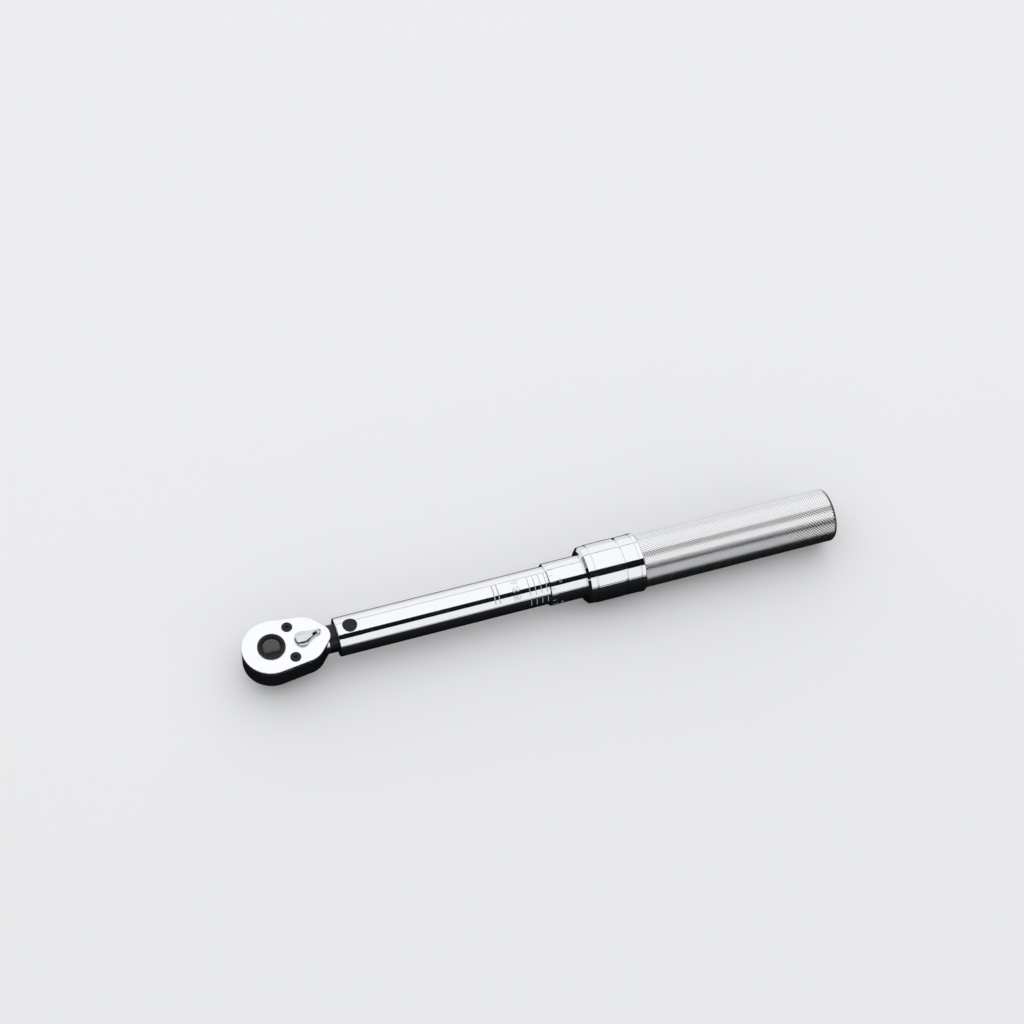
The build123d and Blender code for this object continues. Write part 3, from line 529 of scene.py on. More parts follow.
def lever_top():
    """Grid over the lever's plan, from its spine to its rim.

    The plan is a row of circles whose centres walk from hub to tip and whose radii shrink in
    step. From spine to rim the height falls as a power of one minus u squared over the hub,
    and as a straight slope with its ridge rounded off over the tab.
    """
    lean = atan2(sqrt(TIP_FROM_HUB**2 - (HUB_R - TAB_TIP_R) ** 2), HUB_R - TAB_TIP_R)
    walk = np.linspace(0, 1, WALK_STEPS)
    back = np.linspace(pi, lean, HUB_STEPS)
    front = np.linspace(lean, 0, TIP_STEPS)
    share = np.concatenate([0 * back, walk, 0 * front + 1])
    angle = np.concatenate([back, 0 * walk + lean, front])
    share = np.concatenate([share, share[::-1]])
    angle = np.concatenate([angle, -angle[::-1]])
    radius = TAB_TIP_R + (HUB_R - TAB_TIP_R) * (1 - share) ** WAIST_POWER
    u = np.linspace(0, 1, LEVER_ROWS)[:, None]
    centre = TIP_FROM_HUB * share
    x = centre + u * radius * np.cos(angle)
    y = u * radius * np.sin(angle)
    blend = np.clip((share - TAB_FROM) / TAB_OVER, 0, 1)
    blend = blend * blend * (3 - 2 * blend)
    rim = HUB_WALL + (TAB_EDGE - HUB_WALL) * blend
    crown_z = rim + (HUB_HEIGHT - rim) * np.clip(1 - (HUB_REACH * u) ** 2, 0, 1) ** HUB_POWER
    slope = 1 - np.sqrt(u**2 + RIDGE_ROUND)
    tab_z = rim + (TAB_HEIGHT - rim) * slope / (1 - sqrt(RIDGE_ROUND))
    tab_z = np.maximum(tab_z, rim - RIM_SINK)
    z = crown_z * (1 - blend) + tab_z * blend
    return x, y, z


def lever_place(x, y, z):
    """Points built round the hub, turned to the stop where the lever rests."""
    turn = radians(LEVER_TURN)
    along = LEVER_X + x * cos(turn) - y * sin(turn)
    aside = x * sin(turn) + y * cos(turn)
    return np.stack([along, aside, LEVER_LOW + z], -1)


top_x, top_y, top_z = lever_top()
rim_x, rim_y = top_x[-1:], top_y[-1:]
wall_z = np.linspace(1, WALL_FOOT, WALL_ROWS)[:, None] * top_z[-1:]
under_u = np.linspace(UNDER_INSET, 0, UNDER_ROWS)[:, None]
spine_x = top_x[:1]
lever_wall = lever_place(rim_x + 0 * wall_z, rim_y + 0 * wall_z, wall_z)
lever_under = lever_place(
    np.concatenate([rim_x, spine_x + (rim_x - spine_x) * under_u]),
    np.concatenate([rim_y, rim_y * under_u]),
    np.concatenate([wall_z[-1:], 0 * rim_x * under_u]),
)
stem_top = LEVER_LOW + STEM_IN_HUB
stem_corners = [
    (0, STEM_END[1]), STEM_END, (STEM_END[0], STEM_SHOULDER[0]), (STEM_R, STEM_SHOULDER[1]),
    (STEM_R, stem_top), (0, stem_top),
]
stem_grid = spun(eased(stem_corners, LEVER_EDGE), LEVER_X, 0.0, LEVER_AROUND)
lever = skin("reversing_lever_chrome", lever_place(top_x, top_y, top_z), lever_wall, lever_under, stem_grid)
lever.data.materials.append(chrome("chrome_lever", LEVER_ROUGHNESS, wave=0.01, colour=LEVER_SHADED_CHROME))
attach(lever, "lever")
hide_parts("reversing_lever")

# -------------------------------------------------------------- Barrel tube
# Drawn steel tube, polished and chrome plated. Cross-drilled at the front for
# the pivot pin; twelve ball grooves lie hidden under the lock ring.
tube_low, tube_high = (np.array(c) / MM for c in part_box("tube"))
TUBE_FRONT, TUBE_REAR = tube_low[0], tube_high[0]
TUBE_R = tube_high[1]
AXIS_Z = (tube_low[2] + tube_high[2]) / 2
TUBE_WALL = 1.24
BORE_R = TUBE_R - TUBE_WALL
TUBE_EDGE = 0.35
EDGE_EASE = 0.12  # radius left on an edge that was turned and deburred
HOLD_ROW = 0.1  # distance from an edge to the row that holds it
PIN_R = 3.175
PIN_X = (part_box("pivot_pin")[0][0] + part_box("pivot_pin")[1][0]) / 2 / MM
EYE_HALF = 4.4  # half length of the patch of wall round the pin's hole
EYE_STEPS = 24
EYE_DRAWN = (0, 0.3, 0.55, 0.75, 0.88, 0.95, 0.985, 1)  # rows from the patch's border to the hole
GROOVES = 12
GROOVE_DEPTH = 0.6
GROOVE_CUTTER_R = 1.2
GROOVE_REACH = 10.0  # each groove's length either side of its middle
GROOVE_MIDDLE = 144.66
CUT_STEPS = 8  # steps across a groove, and across the land beside it
ON_EDGE = 1e-9  # radians by which a groove's own edge counts as outside it
ANGLE_SLACK = 1e-6


def round_bar(x, radius, angle):
    """Points on the barrel: x along it, radius, and angle from the top toward +Y."""
    x, radius, angle = np.broadcast_arrays(x, radius, angle)
    return np.stack([x, radius * np.sin(angle), AXIS_Z + radius * np.cos(angle)], -1)


def groove_edge():
    """Half the angle that one groove takes of the tube's surface."""
    centre = TUBE_R - GROOVE_DEPTH + GROOVE_CUTTER_R
    return np.arccos((TUBE_R**2 + centre**2 - GROOVE_CUTTER_R**2) / (2 * TUBE_R * centre))


def grooved_radius(angle):
    """Tube's radius where a round cutter of the groove's radius has passed along every pitch."""
    centre = TUBE_R - GROOVE_DEPTH + GROOVE_CUTTER_R
    pitch = 2 * pi / GROOVES
    off = (angle + pitch / 2) % pitch - pitch / 2
    inside = np.clip(GROOVE_CUTTER_R**2 - (centre * np.sin(off)) ** 2, 0, None)
    cut = centre * np.cos(off) - np.sqrt(inside)
    return np.where(np.abs(off) < groove_edge() - ON_EDGE, cut, TUBE_R)


def barrel_angles():
    """Angles round the tube, in even steps across each groove and across each land."""
    edge = groove_edge()
    pitch = 2 * pi / GROOVES
    spans = ((-edge, edge), (edge, pitch - edge))
    one = np.concatenate([np.linspace(*span, CUT_STEPS + 1)[:-1] for span in spans])
    return np.concatenate([one + i * pitch for i in range(GROOVES)] + [[2 * pi - edge]])


def wall_eye(angles, up):
    """Wall round one end of the pin's hole, outer skin, hole and bore skin as one grid.

    A closed rectangle on the tube is drawn in to the hole's circle, the rows crowding near it;
    the height of every point is the tube's at that distance from the middle plane.
    """
    along = PIN_X + np.linspace(-EYE_HALF, EYE_HALF, EYE_STEPS + 1)
    side = sin(angles[-1])
    y_edge = np.sin(angles)
    x = np.concatenate([0 * y_edge + PIN_X + EYE_HALF, along[::-1], 0 * y_edge + PIN_X - EYE_HALF, along])
    y = np.concatenate([y_edge, 0 * along + side, y_edge[::-1], 0 * along - side])
    turn = np.arctan2(TUBE_R * y, x - PIN_X)
    ring_x, ring_y = PIN_X + PIN_R * np.cos(turn), PIN_R * np.sin(turn)
    draw = np.array(EYE_DRAWN)[:, None]
    rows = []
    for radius, pull in ((TUBE_R, draw), (BORE_R, draw[::-1])):
        px, py = x + (ring_x - x) * pull, radius * y + (ring_y - radius * y) * pull
        rows.append(np.stack([px, py, AXIS_Z + up * np.sqrt(radius**2 - py**2)], -1))
    return np.concatenate(rows)


tube_angles = barrel_angles()
eye_end = 2 * pi / GROOVES + groove_edge()
eye_angles = np.array([a - 2 * pi if a > pi else a for a in tube_angles[:-1]])
eye_angles = np.sort(eye_angles[np.abs(eye_angles) < eye_end + ANGLE_SLACK])
beside_eye = (tube_angles > eye_end - ANGLE_SLACK) & (tube_angles < pi - eye_end + ANGLE_SLACK)
side_angles = tube_angles[beside_eye]
eye_x = PIN_X + np.linspace(-EYE_HALF, EYE_HALF, EYE_STEPS + 1)[:, None]
mouth = eased(
    [(PIN_X - EYE_HALF, BORE_R), (TUBE_FRONT, BORE_R), (TUBE_FRONT, TUBE_R - TUBE_EDGE),
     (TUBE_FRONT + TUBE_EDGE, TUBE_R), (PIN_X - EYE_HALF, TUBE_R)],
    EDGE_EASE,
)
groove_from, groove_to = GROOVE_MIDDLE - GROOVE_REACH, GROOVE_MIDDLE + GROOVE_REACH
cut_radius = grooved_radius(tube_angles)
plain = 0 * cut_radius
rear_rows = [
    (PIN_X + EYE_HALF, TUBE_R + plain), (PIN_X + EYE_HALF + HOLD_ROW, TUBE_R + plain),
    (groove_from - HOLD_ROW, TUBE_R + plain), (groove_from, TUBE_R + plain), (groove_from, cut_radius),
    (groove_to, cut_radius), (groove_to, TUBE_R + plain), (TUBE_REAR, TUBE_R + plain),
    (TUBE_REAR, BORE_R + plain), (PIN_X + EYE_HALF, BORE_R + plain),
]
rear_x, rear_r = (np.stack([np.broadcast_to(row[i], plain.shape) for row in rear_rows]) for i in (0, 1))
tube_grids = [
    round_bar(mouth[:, :1], mouth[:, 1:], tube_angles),
    round_bar(rear_x, rear_r, tube_angles),
    wall_eye(eye_angles, 1),
    wall_eye(eye_angles, -1),
]
for radius in (TUBE_R, BORE_R):
    for turn in (0, pi):
        tube_grids.append(round_bar(eye_x, radius, side_angles + turn))
tube = skin("tube_chrome", *tube_grids)
tube.data.materials.append(chrome("chrome_barrel", roughness=0.04, wave=0.01))
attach(tube, "barrel")
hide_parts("tube")

# ----------------------------------------------------------------- Pivot pin
# Hardened steel pin pressed through barrel and tang, its ends blackened and
# finished flat, so that the tube's round wall stands a little proud of them.
PIN_EDGE = 0.25
PIN_AROUND = 96
PIN_UNDER = 0.01  # how much less than its hole's radius the pin's is
pin_half = sqrt(TUBE_R**2 - PIN_R**2)
pin_low, pin_high = AXIS_Z - pin_half, AXIS_Z + pin_half
pin_side = PIN_R - PIN_UNDER
pin_corners = [(0, pin_low), (pin_side, pin_low), (pin_side, pin_high), (0, pin_high)]
pin = skin("pivot_pin_black", spun(eased(pin_corners, PIN_EDGE), PIN_X, 0.0, PIN_AROUND))
pin.data.materials.append(black_oxide("black_oxide_pin"))
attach(pin, "barrel")
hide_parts("pivot_pin")

# ------------------------------------------------------------- Torque scale
# The scale is etched into the barrel's chrome: one line for every step of
# setting, a pair that bounds it, and plain numbers. Etching leaves it matt grey.
ETCH_PROUD = 0.012
ETCH_DEEP = 0.06
LINE = 0.3
LINE_STEP = 2.54
SCALE_FIRST = 112.3
SCALE_LINES = 4
SCALE_HALF = radians(30)
SCALE_MIDDLE = radians(-20)
SECOND_SPAN = (2.2, 1.5)  # ends of the short lines below, in halves of the scale from its middle
BOUND_X = (96.6, 98.6)
BOUND_WIDER = 1.5
SCALE_NUMBERS = ("80", "60", "40")
NUMBERS_X = 106.6
NUMBERS_APART = 0.42  # radians
DIGIT_HIGH = 2.1
DIGIT_WIDE = 1.25
DIGIT_PITCH = 1.35  # from one numeral to the next, in numeral widths
STROKE = 0.24
ETCHED_GREY = (0.34, 0.35, 0.36, 1)
ETCHED_LIGHT = 1.5  # how much lighter the grey is in patches
ETCHED_PATCH = 0.35
ETCHED_ROUGHNESS = 0.6


def etched(name, colour=ETCHED_GREY):
    """Acid-etched chrome: matt, grey, slightly uneven."""
    finish = Finish(name, Metallic=0.25)
    patch = finish.noise(ETCHED_PATCH)
    finish.set(
        Base_Color=finish.blend(patch, colour, [c * ETCHED_LIGHT for c in colour[:3]] + [1]),
        Roughness=ETCHED_ROUGHNESS + patch * 0.15,
    )
    return finish.material


def stroke(path, wide, radius):
    """Closed strip laid on the barrel: a path of (x, arc) points, both in millimetres, widened
    square to its run and given a top just above the surface and a foot below it."""
    path = np.array(path, float)
    run = np.gradient(path, axis=0)
    run /= np.linalg.norm(run, axis=1)[:, None]
    aside = np.column_stack([-run[:, 1], run[:, 0]]) * wide / 2
    left, right = path + aside, path - aside
    top, foot = radius + ETCH_PROUD, radius - ETCH_DEEP
    section = [(left, top), (right, top), (right, foot), (left, foot), (left, top)]
    rows = np.stack([round_bar(p[:, 0], r, p[:, 1] / radius) for p, r in section], 1)
    middles = rows.mean(1, keepdims=True) + 0 * rows
    return np.concatenate([middles[:1], rows, middles[-1:]])


def circle_line(x, start, end, wide, radius, steps=14):
    """Line round the barrel at x, between two angles."""
    arc = np.linspace(start, end, steps) * radius
    return stroke(np.column_stack([x + 0 * arc, arc]), wide, radius)


def bow(x, y, wide, high, start, end, steps):
    """Part of an oval in a numeral's unit box, about x, y, from one angle to another."""
    return [(x + wide * cos(a), y + high * sin(a)) for a in np.linspace(start, end, steps)]


SEAM = 0.01  # radians left open where an oval meets itself
FIVE_BOWL = [(x, y * 1.1) for x, y in reversed(bow(0.5, 0.27, 0.5, 0.27, 2.6, -2.6, 12))]
NUMERALS = {
    "0": [bow(0.5, 0.5, 0.5, 0.5, SEAM, 2 * pi, 22)],
    "1": [[(0.25, 0.8), (0.55, 1.0), (0.55, 0.5), (0.55, 0.0)]],
    "2": [bow(0.5, 0.72, -0.5, 0.28, 0.1, 3.6, 10) + [(0.0, 0.0)], [(0.0, 0.0), (0.5, 0.0), (1.0, 0.0)]],
    "4": [[(0.7, 0.0), (0.7, 0.5), (0.7, 1.0)], [(0.7, 1.0), (0.0, 0.3)],
          [(0.0, 0.3), (0.5, 0.3), (1.0, 0.3)]],
    "5": [[(0.95, 1.0), (0.12, 1.0)], [(0.12, 1.0), (0.05, 0.55)], FIVE_BOWL],
    "6": [[(0.85, 1.0), (0.3, 0.75), (0.02, 0.4)], bow(0.5, 0.3, 0.5, 0.3, SEAM, 2 * pi, 18)],
    "8": [bow(0.5, 0.27, 0.5, 0.27, SEAM, 2 * pi, 18), bow(0.5, 0.77, 0.42, 0.23, SEAM, 2 * pi, 16)],
}


def number(text, x, middle, radius, high=DIGIT_HIGH, wide=DIGIT_WIDE, line=STROKE):
    """Numerals laid round the barrel, read from the -Y side: each is strokes in a unit box."""
    grids = []
    pitch = wide * DIGIT_PITCH
    for place, numeral in enumerate(text):
        start = x + (place - len(text) / 2) * pitch
        for strokes in NUMERALS[numeral]:
            path = [(start + wide * px, middle * radius + high * (py - 0.5)) for px, py in strokes]
            grids.append(stroke(path, line, radius))
    return grids


scale_span = (SCALE_MIDDLE - SCALE_HALF, SCALE_MIDDLE + SCALE_HALF)
second_span = [SCALE_MIDDLE - share * SCALE_HALF for share in SECOND_SPAN]
scale = [circle_line(x, *scale_span, LINE * BOUND_WIDER, TUBE_R) for x in BOUND_X]
for i in range(SCALE_LINES):
    x = SCALE_FIRST + i * LINE_STEP
    scale += [circle_line(x, *span, LINE, TUBE_R) for span in (scale_span, second_span)]
for i, text in enumerate(SCALE_NUMBERS):
    scale += number(text, NUMBERS_X, SCALE_MIDDLE + (i - 1) * NUMBERS_APART, TUBE_R)
marks = skin("barrel_scale", *scale)
marks.data.materials.append(etched("etched_scale"))
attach(marks, "barrel")

# ----------------------------------------------- Click block, plunger, spring
# Inside the barrel: a hardened block tips between tang and plunger when the
# heavy spring's load is passed. All are steel, oiled, and out of sight.
OILED_STEEL = (0.42, 0.41, 0.40, 1)
BRASS = (0.72, 0.50, 0.20, 1)
TARNISHED_BRASS = (0.50, 0.33, 0.13, 1)
BRASS_ROUGHNESS = 0.22
TARNISH_ROUGHNESS = 0.18
oiled = ground_steel("oiled_steel", OILED_STEEL, roughness=0.2)
for node in ("click_block", "plunger", "spring_seat", "thrust_ball", "adjusting_screw", "screw_lock_nut"):
    dress(node, oiled)
dress("nut_pins", hardened)
dress("main_spring", spring_wire)


def nut_brass(name):
    """Turned brass: warm, lightly tarnished, with fine tool marks round it."""
    finish = Finish(name, Metallic=1.0)
    tarnish = finish.noise(2.0)
    tool = finish.noise(0.08, detail=1.0, stretch=(1, 30, 30))
    finish.set(
        Base_Color=finish.blend(tarnish, BRASS, TARNISHED_BRASS),
        Roughness=BRASS_ROUGHNESS + tarnish * TARNISH_ROUGHNESS,
        Normal=finish.bump(tool, 0.002),
    )
    return finish.material


dress("adjusting_nut", nut_brass("nut_brass"))

# ------------------------------------------------------------------- Thimble
# Thin chromed sleeve that turns with the grip and slides on the barrel. Its
# bevelled front edge reads the scale, with short graduations round it.
sleeve_low, sleeve_high = (np.array(c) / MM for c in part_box("thimble"))
SLEEVE_R = sleeve_high[1]
RUNNING_FIT = 0.06  # gap all round between sleeves that slide on each other
SLEEVE_BORE = TUBE_R + RUNNING_FIT
SLEEVE_BEVEL = 0.45
SLEEVE_SEAM = 1.0  # how far inside the bore its profile starts and ends
GRADUATIONS = 20
ZERO_TURN = radians(26)
TICK_LENGTHS = (2.6, 1.5)
TICK_LINE = 0.22
TICK_FROM_BEVEL = 0.15
NUMBER_FROM_TICK = 4.6
NUMBER_SIZE = (1.5, 0.9, 0.2)  # height, width, line
NUMBERED_EVERY = 4
seam_x = sleeve_low[0] + SLEEVE_SEAM
sleeve_profile = eased(
    [(seam_x, SLEEVE_BORE), (sleeve_low[0], SLEEVE_BORE), (sleeve_low[0], SLEEVE_R - SLEEVE_BEVEL),
     (sleeve_low[0] + SLEEVE_BEVEL, SLEEVE_R), (sleeve_high[0], SLEEVE_R), (sleeve_high[0], SLEEVE_BORE),
     (seam_x, SLEEVE_BORE)],
    EDGE_EASE,
)


def turned(profile, angles=circle(AROUND)):
    """Lathe work on the barrel's axis: each (x, radius) carried round it."""
    profile = np.array(profile, float)
    return round_bar(profile[:, :1], profile[:, 1:], angles)


sleeve = skin("thimble_chrome", turned(sleeve_profile))
sleeve.data.materials.append(chrome("chrome_sleeve", roughness=0.045, wave=0.008))
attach(sleeve, "handle")
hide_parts("thimble")

tick_x = sleeve_low[0] + SLEEVE_BEVEL + TICK_FROM_BEVEL
ticks = []
for i in range(GRADUATIONS):
    angle = 2 * pi * i / GRADUATIONS - ZERO_TURN
    path = [(tick_x + TICK_LENGTHS[i % 2] * s, angle * SLEEVE_R) for s in (0, 0.5, 1)]
    ticks.append(stroke(path, TICK_LINE, SLEEVE_R))
    if i % NUMBERED_EVERY == 0:
        numeral = "02468"[i // NUMBERED_EVERY]
        ticks += number(numeral, tick_x + NUMBER_FROM_TICK, angle, SLEEVE_R, *NUMBER_SIZE)
graduations = skin("thimble_graduations", *ticks)
graduations.data.materials.append(etched("etched_graduations"))
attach(graduations, "handle")

# ----------------------------------------------------- Lock ring and its balls
# Turned steel ring, chromed: bands and grooves for the fingers. Pulled back
# against its coil it frees two balls, and the grip can turn.
ring_low, ring_high = (np.array(c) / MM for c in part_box("lock_ring"))
RING_R = ring_high[1]
BAND_R = RING_R - 0.15
RING_BORE = SLEEVE_R + RUNNING_FIT
RING_NOSE = ((0, 1.6), (1.1, 0.35), (3.6, 0.2), (3.8, 0.45), (4.1, 0.45))  # station, depth under the band
BAND_FROM = 4.3
FINGER_GROOVE = (16.6, 17.8, 0.75)  # from, to, depth
REAR_GROOVE = (23.8, 24.2, 0.3)
RIM_FROM = 25.85
RIM_BEVEL = 0.55
RING_REAR = 26.4
SKIRT_R = 11.95
SKIRT_FROM = 19.6
SPRING_R = 11.78
BALL_CONE = ((12.6, 10.815), (10.9, 10.815), (4.5, 11.775), (3.2, 11.775))  # holds the balls in, frees them
BORE_HOLD = 0.8
RING_EDGE = 0.1


def ring_groove(start, end, depth, after=BAND_R):
    """Corners of a square groove turned in the band, out to a radius on its rear side."""
    return [(start, BAND_R), (start, BAND_R - depth), (end, BAND_R - depth), (end, after)]


ring_corners = [(x, BAND_R - depth) for x, depth in RING_NOSE] + [(BAND_FROM, BAND_R)]
ring_corners += ring_groove(*FINGER_GROOVE) + ring_groove(*REAR_GROOVE, RING_R)
ring_corners += [(RIM_FROM, RING_R), (RING_REAR, RING_R - RIM_BEVEL)]
ring_inside = [
    (RING_REAR, SKIRT_R), (SKIRT_FROM, SKIRT_R), (SKIRT_FROM, SPRING_R), (BALL_CONE[0][0], SPRING_R),
    *BALL_CONE, (BALL_CONE[-1][0], RING_BORE), (BORE_HOLD, RING_BORE), (0, RING_BORE), ring_corners[0],
]
ring_profile = eased(ring_corners + ring_inside, RING_EDGE, 3)
ring_profile[:, 0] += ring_low[0]
ring = skin("lock_ring_chrome", turned(ring_profile))
ring.data.materials.append(chrome("chrome_ring", roughness=0.04, wave=0.008))
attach(ring, "lock")
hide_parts("lock_ring")
dress("lock_spring", spring_wire)
dress("lock_ball_1", hardened)
dress("lock_ball_2", hardened)

# ---------------------------------------------------------------------- Grip
# Steel tube pressed over the thimble, rolled with a diamond knurl and then
# chromed. A web inside it carries the adjusting screw.
grip_low, grip_high = (np.array(c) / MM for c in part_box("grip"))
GRIP_R = grip_high[1]
KNURLS_AROUND = 56
KNURL_PITCH = 1.35
KNURL_DEPTH = 0.15
GRIP_EDGE = 0.8
CAP_R = 9.2
SHANK_R = 3.0
WEB = (235.95, 240.95)
GRIP_SEAT = 0.4  # how far the grip's inner wall stands in under the sleeve's end
GRIP_BORE = SLEEVE_R - GRIP_SEAT
FRONT_DROP = 0.2
REAR_BREAK = (0.2, 0.55)  # back from the rear face, in from the grip's radius
KNURL_SMOOTH = 8.0  # degrees, so that the diamonds' flanks stay flat
GROOVE_SHADE_POWER = 5.5  # keeps the painted shade to the grooves' floors
# Painted light: the crests are a lighter copy of the chrome.
KNURL_LIT_CRESTS = (0.97, 0.975, 0.98, 1)
# Painted shade: near black in the grooves' floors.
KNURL_GROOVE_SHADE = (0.02, 0.021, 0.022, 1)
KNURL_ROUGHNESS, GROOVE_SHADE_ROUGHNESS, GROOVE_PATCH_ROUGHNESS = 0.12, 0.2, 0.05
GROOVE_PATCH_SHARE = 0.2  # how much the painted groove shade varies from place to place


def knurl():
    """Diamond knurl as a lattice: rows half a pitch apart along the grip, columns half a pitch
    round it. Points whose row and column add to an odd number are the crests, the rest are where
    two grooves cross, and the cells are cut along the grooves."""
    first, last = grip_low[0] + GRIP_EDGE / 2, grip_high[0] - GRIP_EDGE
    rows = 2 * int(round((last - first) / KNURL_PITCH))
    x = np.linspace(first, last, rows + 1)
    turn = circle(2 * KNURLS_AROUND)
    crest = np.add.outer(np.arange(rows + 1), np.arange(len(turn))) % 2
    crest[0] = crest[-1] = 0
    radius = GRIP_R - KNURL_DEPTH * (1 - crest)
    return round_bar(x[:, None], radius, turn), x, turn


lattice, knurl_x, knurl_turn = knurl()
root_r = GRIP_R - KNURL_DEPTH
front_face = [
    (WEB[0], SHANK_R), (WEB[0], GRIP_BORE), (sleeve_high[0], GRIP_BORE), (sleeve_high[0], SLEEVE_R),
    (grip_low[0], SLEEVE_R), (grip_low[0], root_r - FRONT_DROP), (knurl_x[0], root_r),
]
rear_face = [
    (knurl_x[-1], root_r), (grip_high[0] - REAR_BREAK[0], GRIP_R - REAR_BREAK[1]),
    (grip_high[0], GRIP_R - GRIP_EDGE), (grip_high[0], CAP_R), (WEB[1], CAP_R), (WEB[1], SHANK_R),
    (WEB[0], SHANK_R),
]


def knurl_chrome(name):
    """Chrome over knurling: crests a lighter copy of the chrome as painted light, groove floors painted near
    black as shade.
    """
    finish = Finish(name, Metallic=1.0)
    groove = finish.node("Attribute", {"attribute_name": "groove"}, {}, "Fac")
    groove_patches = finish.noise(3.0, detail=4.0)
    groove_shade = groove**GROOVE_SHADE_POWER * ((1 - GROOVE_PATCH_SHARE) + groove_patches * GROOVE_PATCH_SHARE)
    finish.set(
        Base_Color=finish.blend(groove_shade, KNURL_LIT_CRESTS, KNURL_GROOVE_SHADE),
        Roughness=KNURL_ROUGHNESS + groove_shade * GROOVE_SHADE_ROUGHNESS + groove_patches * GROOVE_PATCH_ROUGHNESS,
    )
    return finish.material


grip = skin("knurled_grip", turned(front_face, knurl_turn), turned(rear_face, knurl_turn), cut=[lattice])
places = np.empty(len(grip.data.vertices) * 3)
grip.data.vertices.foreach_get("co", places)
places = places.reshape(-1, 3) / MM
finished(grip, KNURL_SMOOTH)
reach_out = np.hypot(places[:, 1], places[:, 2] - AXIS_Z)
depth = grip.data.attributes.new("groove", "FLOAT", "POINT")
depth.data.foreach_set("value", np.clip((GRIP_R - reach_out) / KNURL_DEPTH, 0, 1).astype(np.float32))
grip.data.materials.append(knurl_chrome("chrome_knurl"))
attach(grip, "handle")
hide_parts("grip")

# ------------------------------------------------------------------- End cap
# Moulded black plastic plug pressed into the grip's rear, where it covers the
# adjusting screw and its lock nut. Its outer face has a shallow dish.
CAP_RIM = 2.0
CAP_DISH = 0.8
CAP_EDGE = 0.4
CAP_ROUGHNESS = 0.42
CAP_GRAIN, CAP_GRAIN_DEPTH = 0.18, 0.02
CAP_CHARCOAL = ((0.012, 0.012, 0.013, 1), (0.02, 0.02, 0.021, 1))
cap_low, cap_high = (np.array(c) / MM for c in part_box("end_cap"))
dish_x = cap_high[0] - CAP_DISH
cap_corners = [
    (cap_low[0], 0), (cap_low[0], CAP_R), (cap_high[0], CAP_R), (cap_high[0], CAP_R - CAP_RIM),
    (dish_x, CAP_R - (CAP_RIM + CAP_DISH)), (dish_x, 0),
]


def cap_plastic(name):
    """Moulded plastic: charcoal, spark-eroded grain, soft sheen."""
    finish = Finish(name)
    grain = finish.noise(CAP_GRAIN, detail=3.0)
    shade = finish.noise(4.0)
    finish.set(
        Base_Color=finish.blend(shade, *CAP_CHARCOAL),
        Roughness=CAP_ROUGHNESS + shade * 0.1,
        Normal=finish.bump(grain, CAP_GRAIN_DEPTH),
    )
    return finish.material


cap = skin("end_cap_moulded", turned(eased(cap_corners, CAP_EDGE)))
cap.data.materials.append(cap_plastic("cap_plastic"))
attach(cap, "handle")
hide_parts("end_cap")

# ---------------------------------------------------- Floor, lights, camera
# A pale table under the wrench, a broad soft light over and behind it, a low
# one in front, and dark cards that only reflections see.
FLOOR_REACH = 4000.0
TABLE_BELOW = 0.2
DARK_CARD = ((-260, 520), (-420, 40), 0.1)  # on the table: from and to along X and Y, depth under the wrench
END_CARD = (-700, (-600, 150), 330)  # upright, off the drive end: x, from and to along Y, top
LINE_CARD = (20.0, 46.0, 420)  # over the wrench: degrees from and to, distance from the barrel's axis
LINE_CARD_X = (-900, 1500)
LIGHTS = (  # name, place, aim and size in metres, watts
    ("overhead", (0.2, 0.25, 1.0), (0.2, 0.25, 0), (3.4, 1.9), 17.0),
    ("behind", (0.2, 1.5, 0.5), (0.2, 0, 0.1), (3.8, 1.1), 10.2),
    ("front", (0.2, -1.3, 0.62), (0.2, 0, 0), (3.2, 1.15), 8.4),
)
ROOM_LIGHT = (0.93, 0.95, 1.0, 1)
ROOM_STRENGTH = 0.3
table_z = cad_box[0][2] / MM


def sheet(name, corners, material):
    """Flat four-cornered card, corners in millimetres."""
    mesh = bpy.data.meshes.new(name)
    mesh.from_pydata(np.array(corners, float) * MM, [], [(0, 1, 2, 3)])
    card = bpy.data.objects.new(name, mesh)
    bpy.context.scene.collection.objects.link(card)
    mesh.materials.append(material)
    return card


def level_card(name, x, y, z, material):
    """Card that lies level at z, between two values of x and two of y."""
    return sheet(name, [(x[0], y[0], z), (x[1], y[0], z), (x[1], y[1], z), (x[0], y[1], z)], material)


def for_reflections(card):
    """The card shows in reflections only."""
    card.visible_camera = False
    card.visible_diffuse = False
    card.visible_shadow = False
    card.visible_transmission = False


reach = (-FLOOR_REACH, FLOOR_REACH)
paper = Finish("pale_table", Base_Color=(0.86, 0.86, 0.86, 1), Roughness=0.7, Specular_IOR_Level=0.2)
level_card("table", reach, reach, table_z - TABLE_BELOW, paper.material)
black = Finish("dark_card", Base_Color=(0.006, 0.007, 0.008, 1), Roughness=0.9, Specular_IOR_Level=0.05)
dark = black.material
card_x, card_y, card_below = DARK_CARD
for_reflections(level_card("dark_table_card", card_x, card_y, table_z - card_below, dark))


def lit_from(name, place, towards, size, power):
    """Soft rectangular light at a place, facing a point, both in metres."""
    lamp = bpy.data.lights.new(name, "AREA")
    lamp.shape = "RECTANGLE"
    lamp.size, lamp.size_y = size
    lamp.energy = power
    light = bpy.data.objects.new(name, lamp)
    bpy.context.scene.collection.objects.link(light)
    light.location = place
    light.rotation_euler = (Vector(towards) - Vector(place)).to_track_quat("-Z", "Y").to_euler()
    light.visible_camera = False


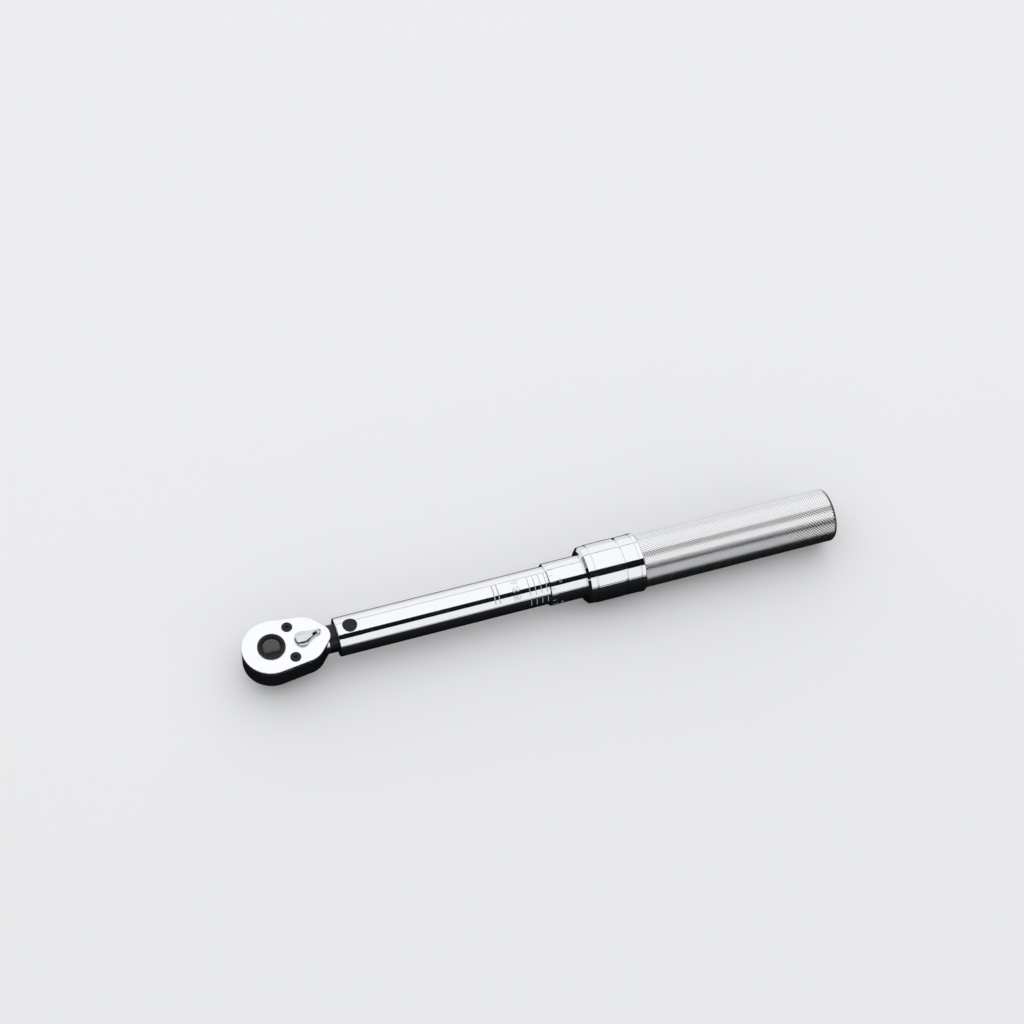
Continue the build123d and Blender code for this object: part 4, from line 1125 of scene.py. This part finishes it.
def strip_card(name, lean_from, lean_to, distance):
    """Long dark card along the wrench, between two angles from overhead toward -Y."""
    y = [-distance * sin(radians(a)) for a in (lean_from, lean_to)]
    z = [AXIS_Z + distance * cos(radians(a)) for a in (lean_from, lean_to)]
    x = LINE_CARD_X
    card = sheet(name, [(x[0], y[0], z[0]), (x[1], y[0], z[0]), (x[1], y[1], z[1]), (x[0], y[1], z[1])], dark)
    for_reflections(card)


end_x, (end_from, end_to), end_top = END_CARD
end_corners = [
    (end_x, end_from, table_z), (end_x, end_to, table_z), (end_x, end_to, end_top), (end_x, end_from, end_top)
]
for_reflections(sheet("dark_end_card", end_corners, dark))
strip_card("dark_line_card", *LINE_CARD)
for name, place, towards, size, power in LIGHTS:
    lit_from(name, place, towards, size, power)

world = bpy.data.worlds.new("room")
bpy.context.scene.world = world
world.use_nodes = True
world.node_tree.nodes["Background"].inputs[0].default_value = ROOM_LIGHT
world.node_tree.nodes["Background"].inputs[1].default_value = ROOM_STRENGTH

LENS = 71.551
SENSOR_WIDTH = 36.0
VIEW_AZIMUTH = radians(-23.87)
VIEW_ELEVATION = radians(57.08)
VIEW_ROLL = radians(6.74)
VIEW_DISTANCE = 0.87973
AIM = Vector((0.11492, 0.02990, 0.02317))
back = Vector((
    sin(VIEW_AZIMUTH) * cos(VIEW_ELEVATION),
    -cos(VIEW_AZIMUTH) * cos(VIEW_ELEVATION),
    sin(VIEW_ELEVATION),
))
level = Vector((cos(VIEW_AZIMUTH), sin(VIEW_AZIMUTH), 0))
upward = back.cross(level)
right = cos(VIEW_ROLL) * level + sin(VIEW_ROLL) * upward
up = back.cross(right)
lens = bpy.data.cameras.new("camera")
lens.lens = LENS
lens.sensor_width = SENSOR_WIDTH
camera = bpy.data.objects.new("camera", lens)
bpy.context.scene.collection.objects.link(camera)
axes = Matrix((right, up, back)).transposed().to_4x4()
camera.matrix_world = Matrix.Translation(AIM + back * VIEW_DISTANCE) @ axes
bpy.context.scene.camera = camera
bpy.context.scene.view_settings.view_transform = "Standard"
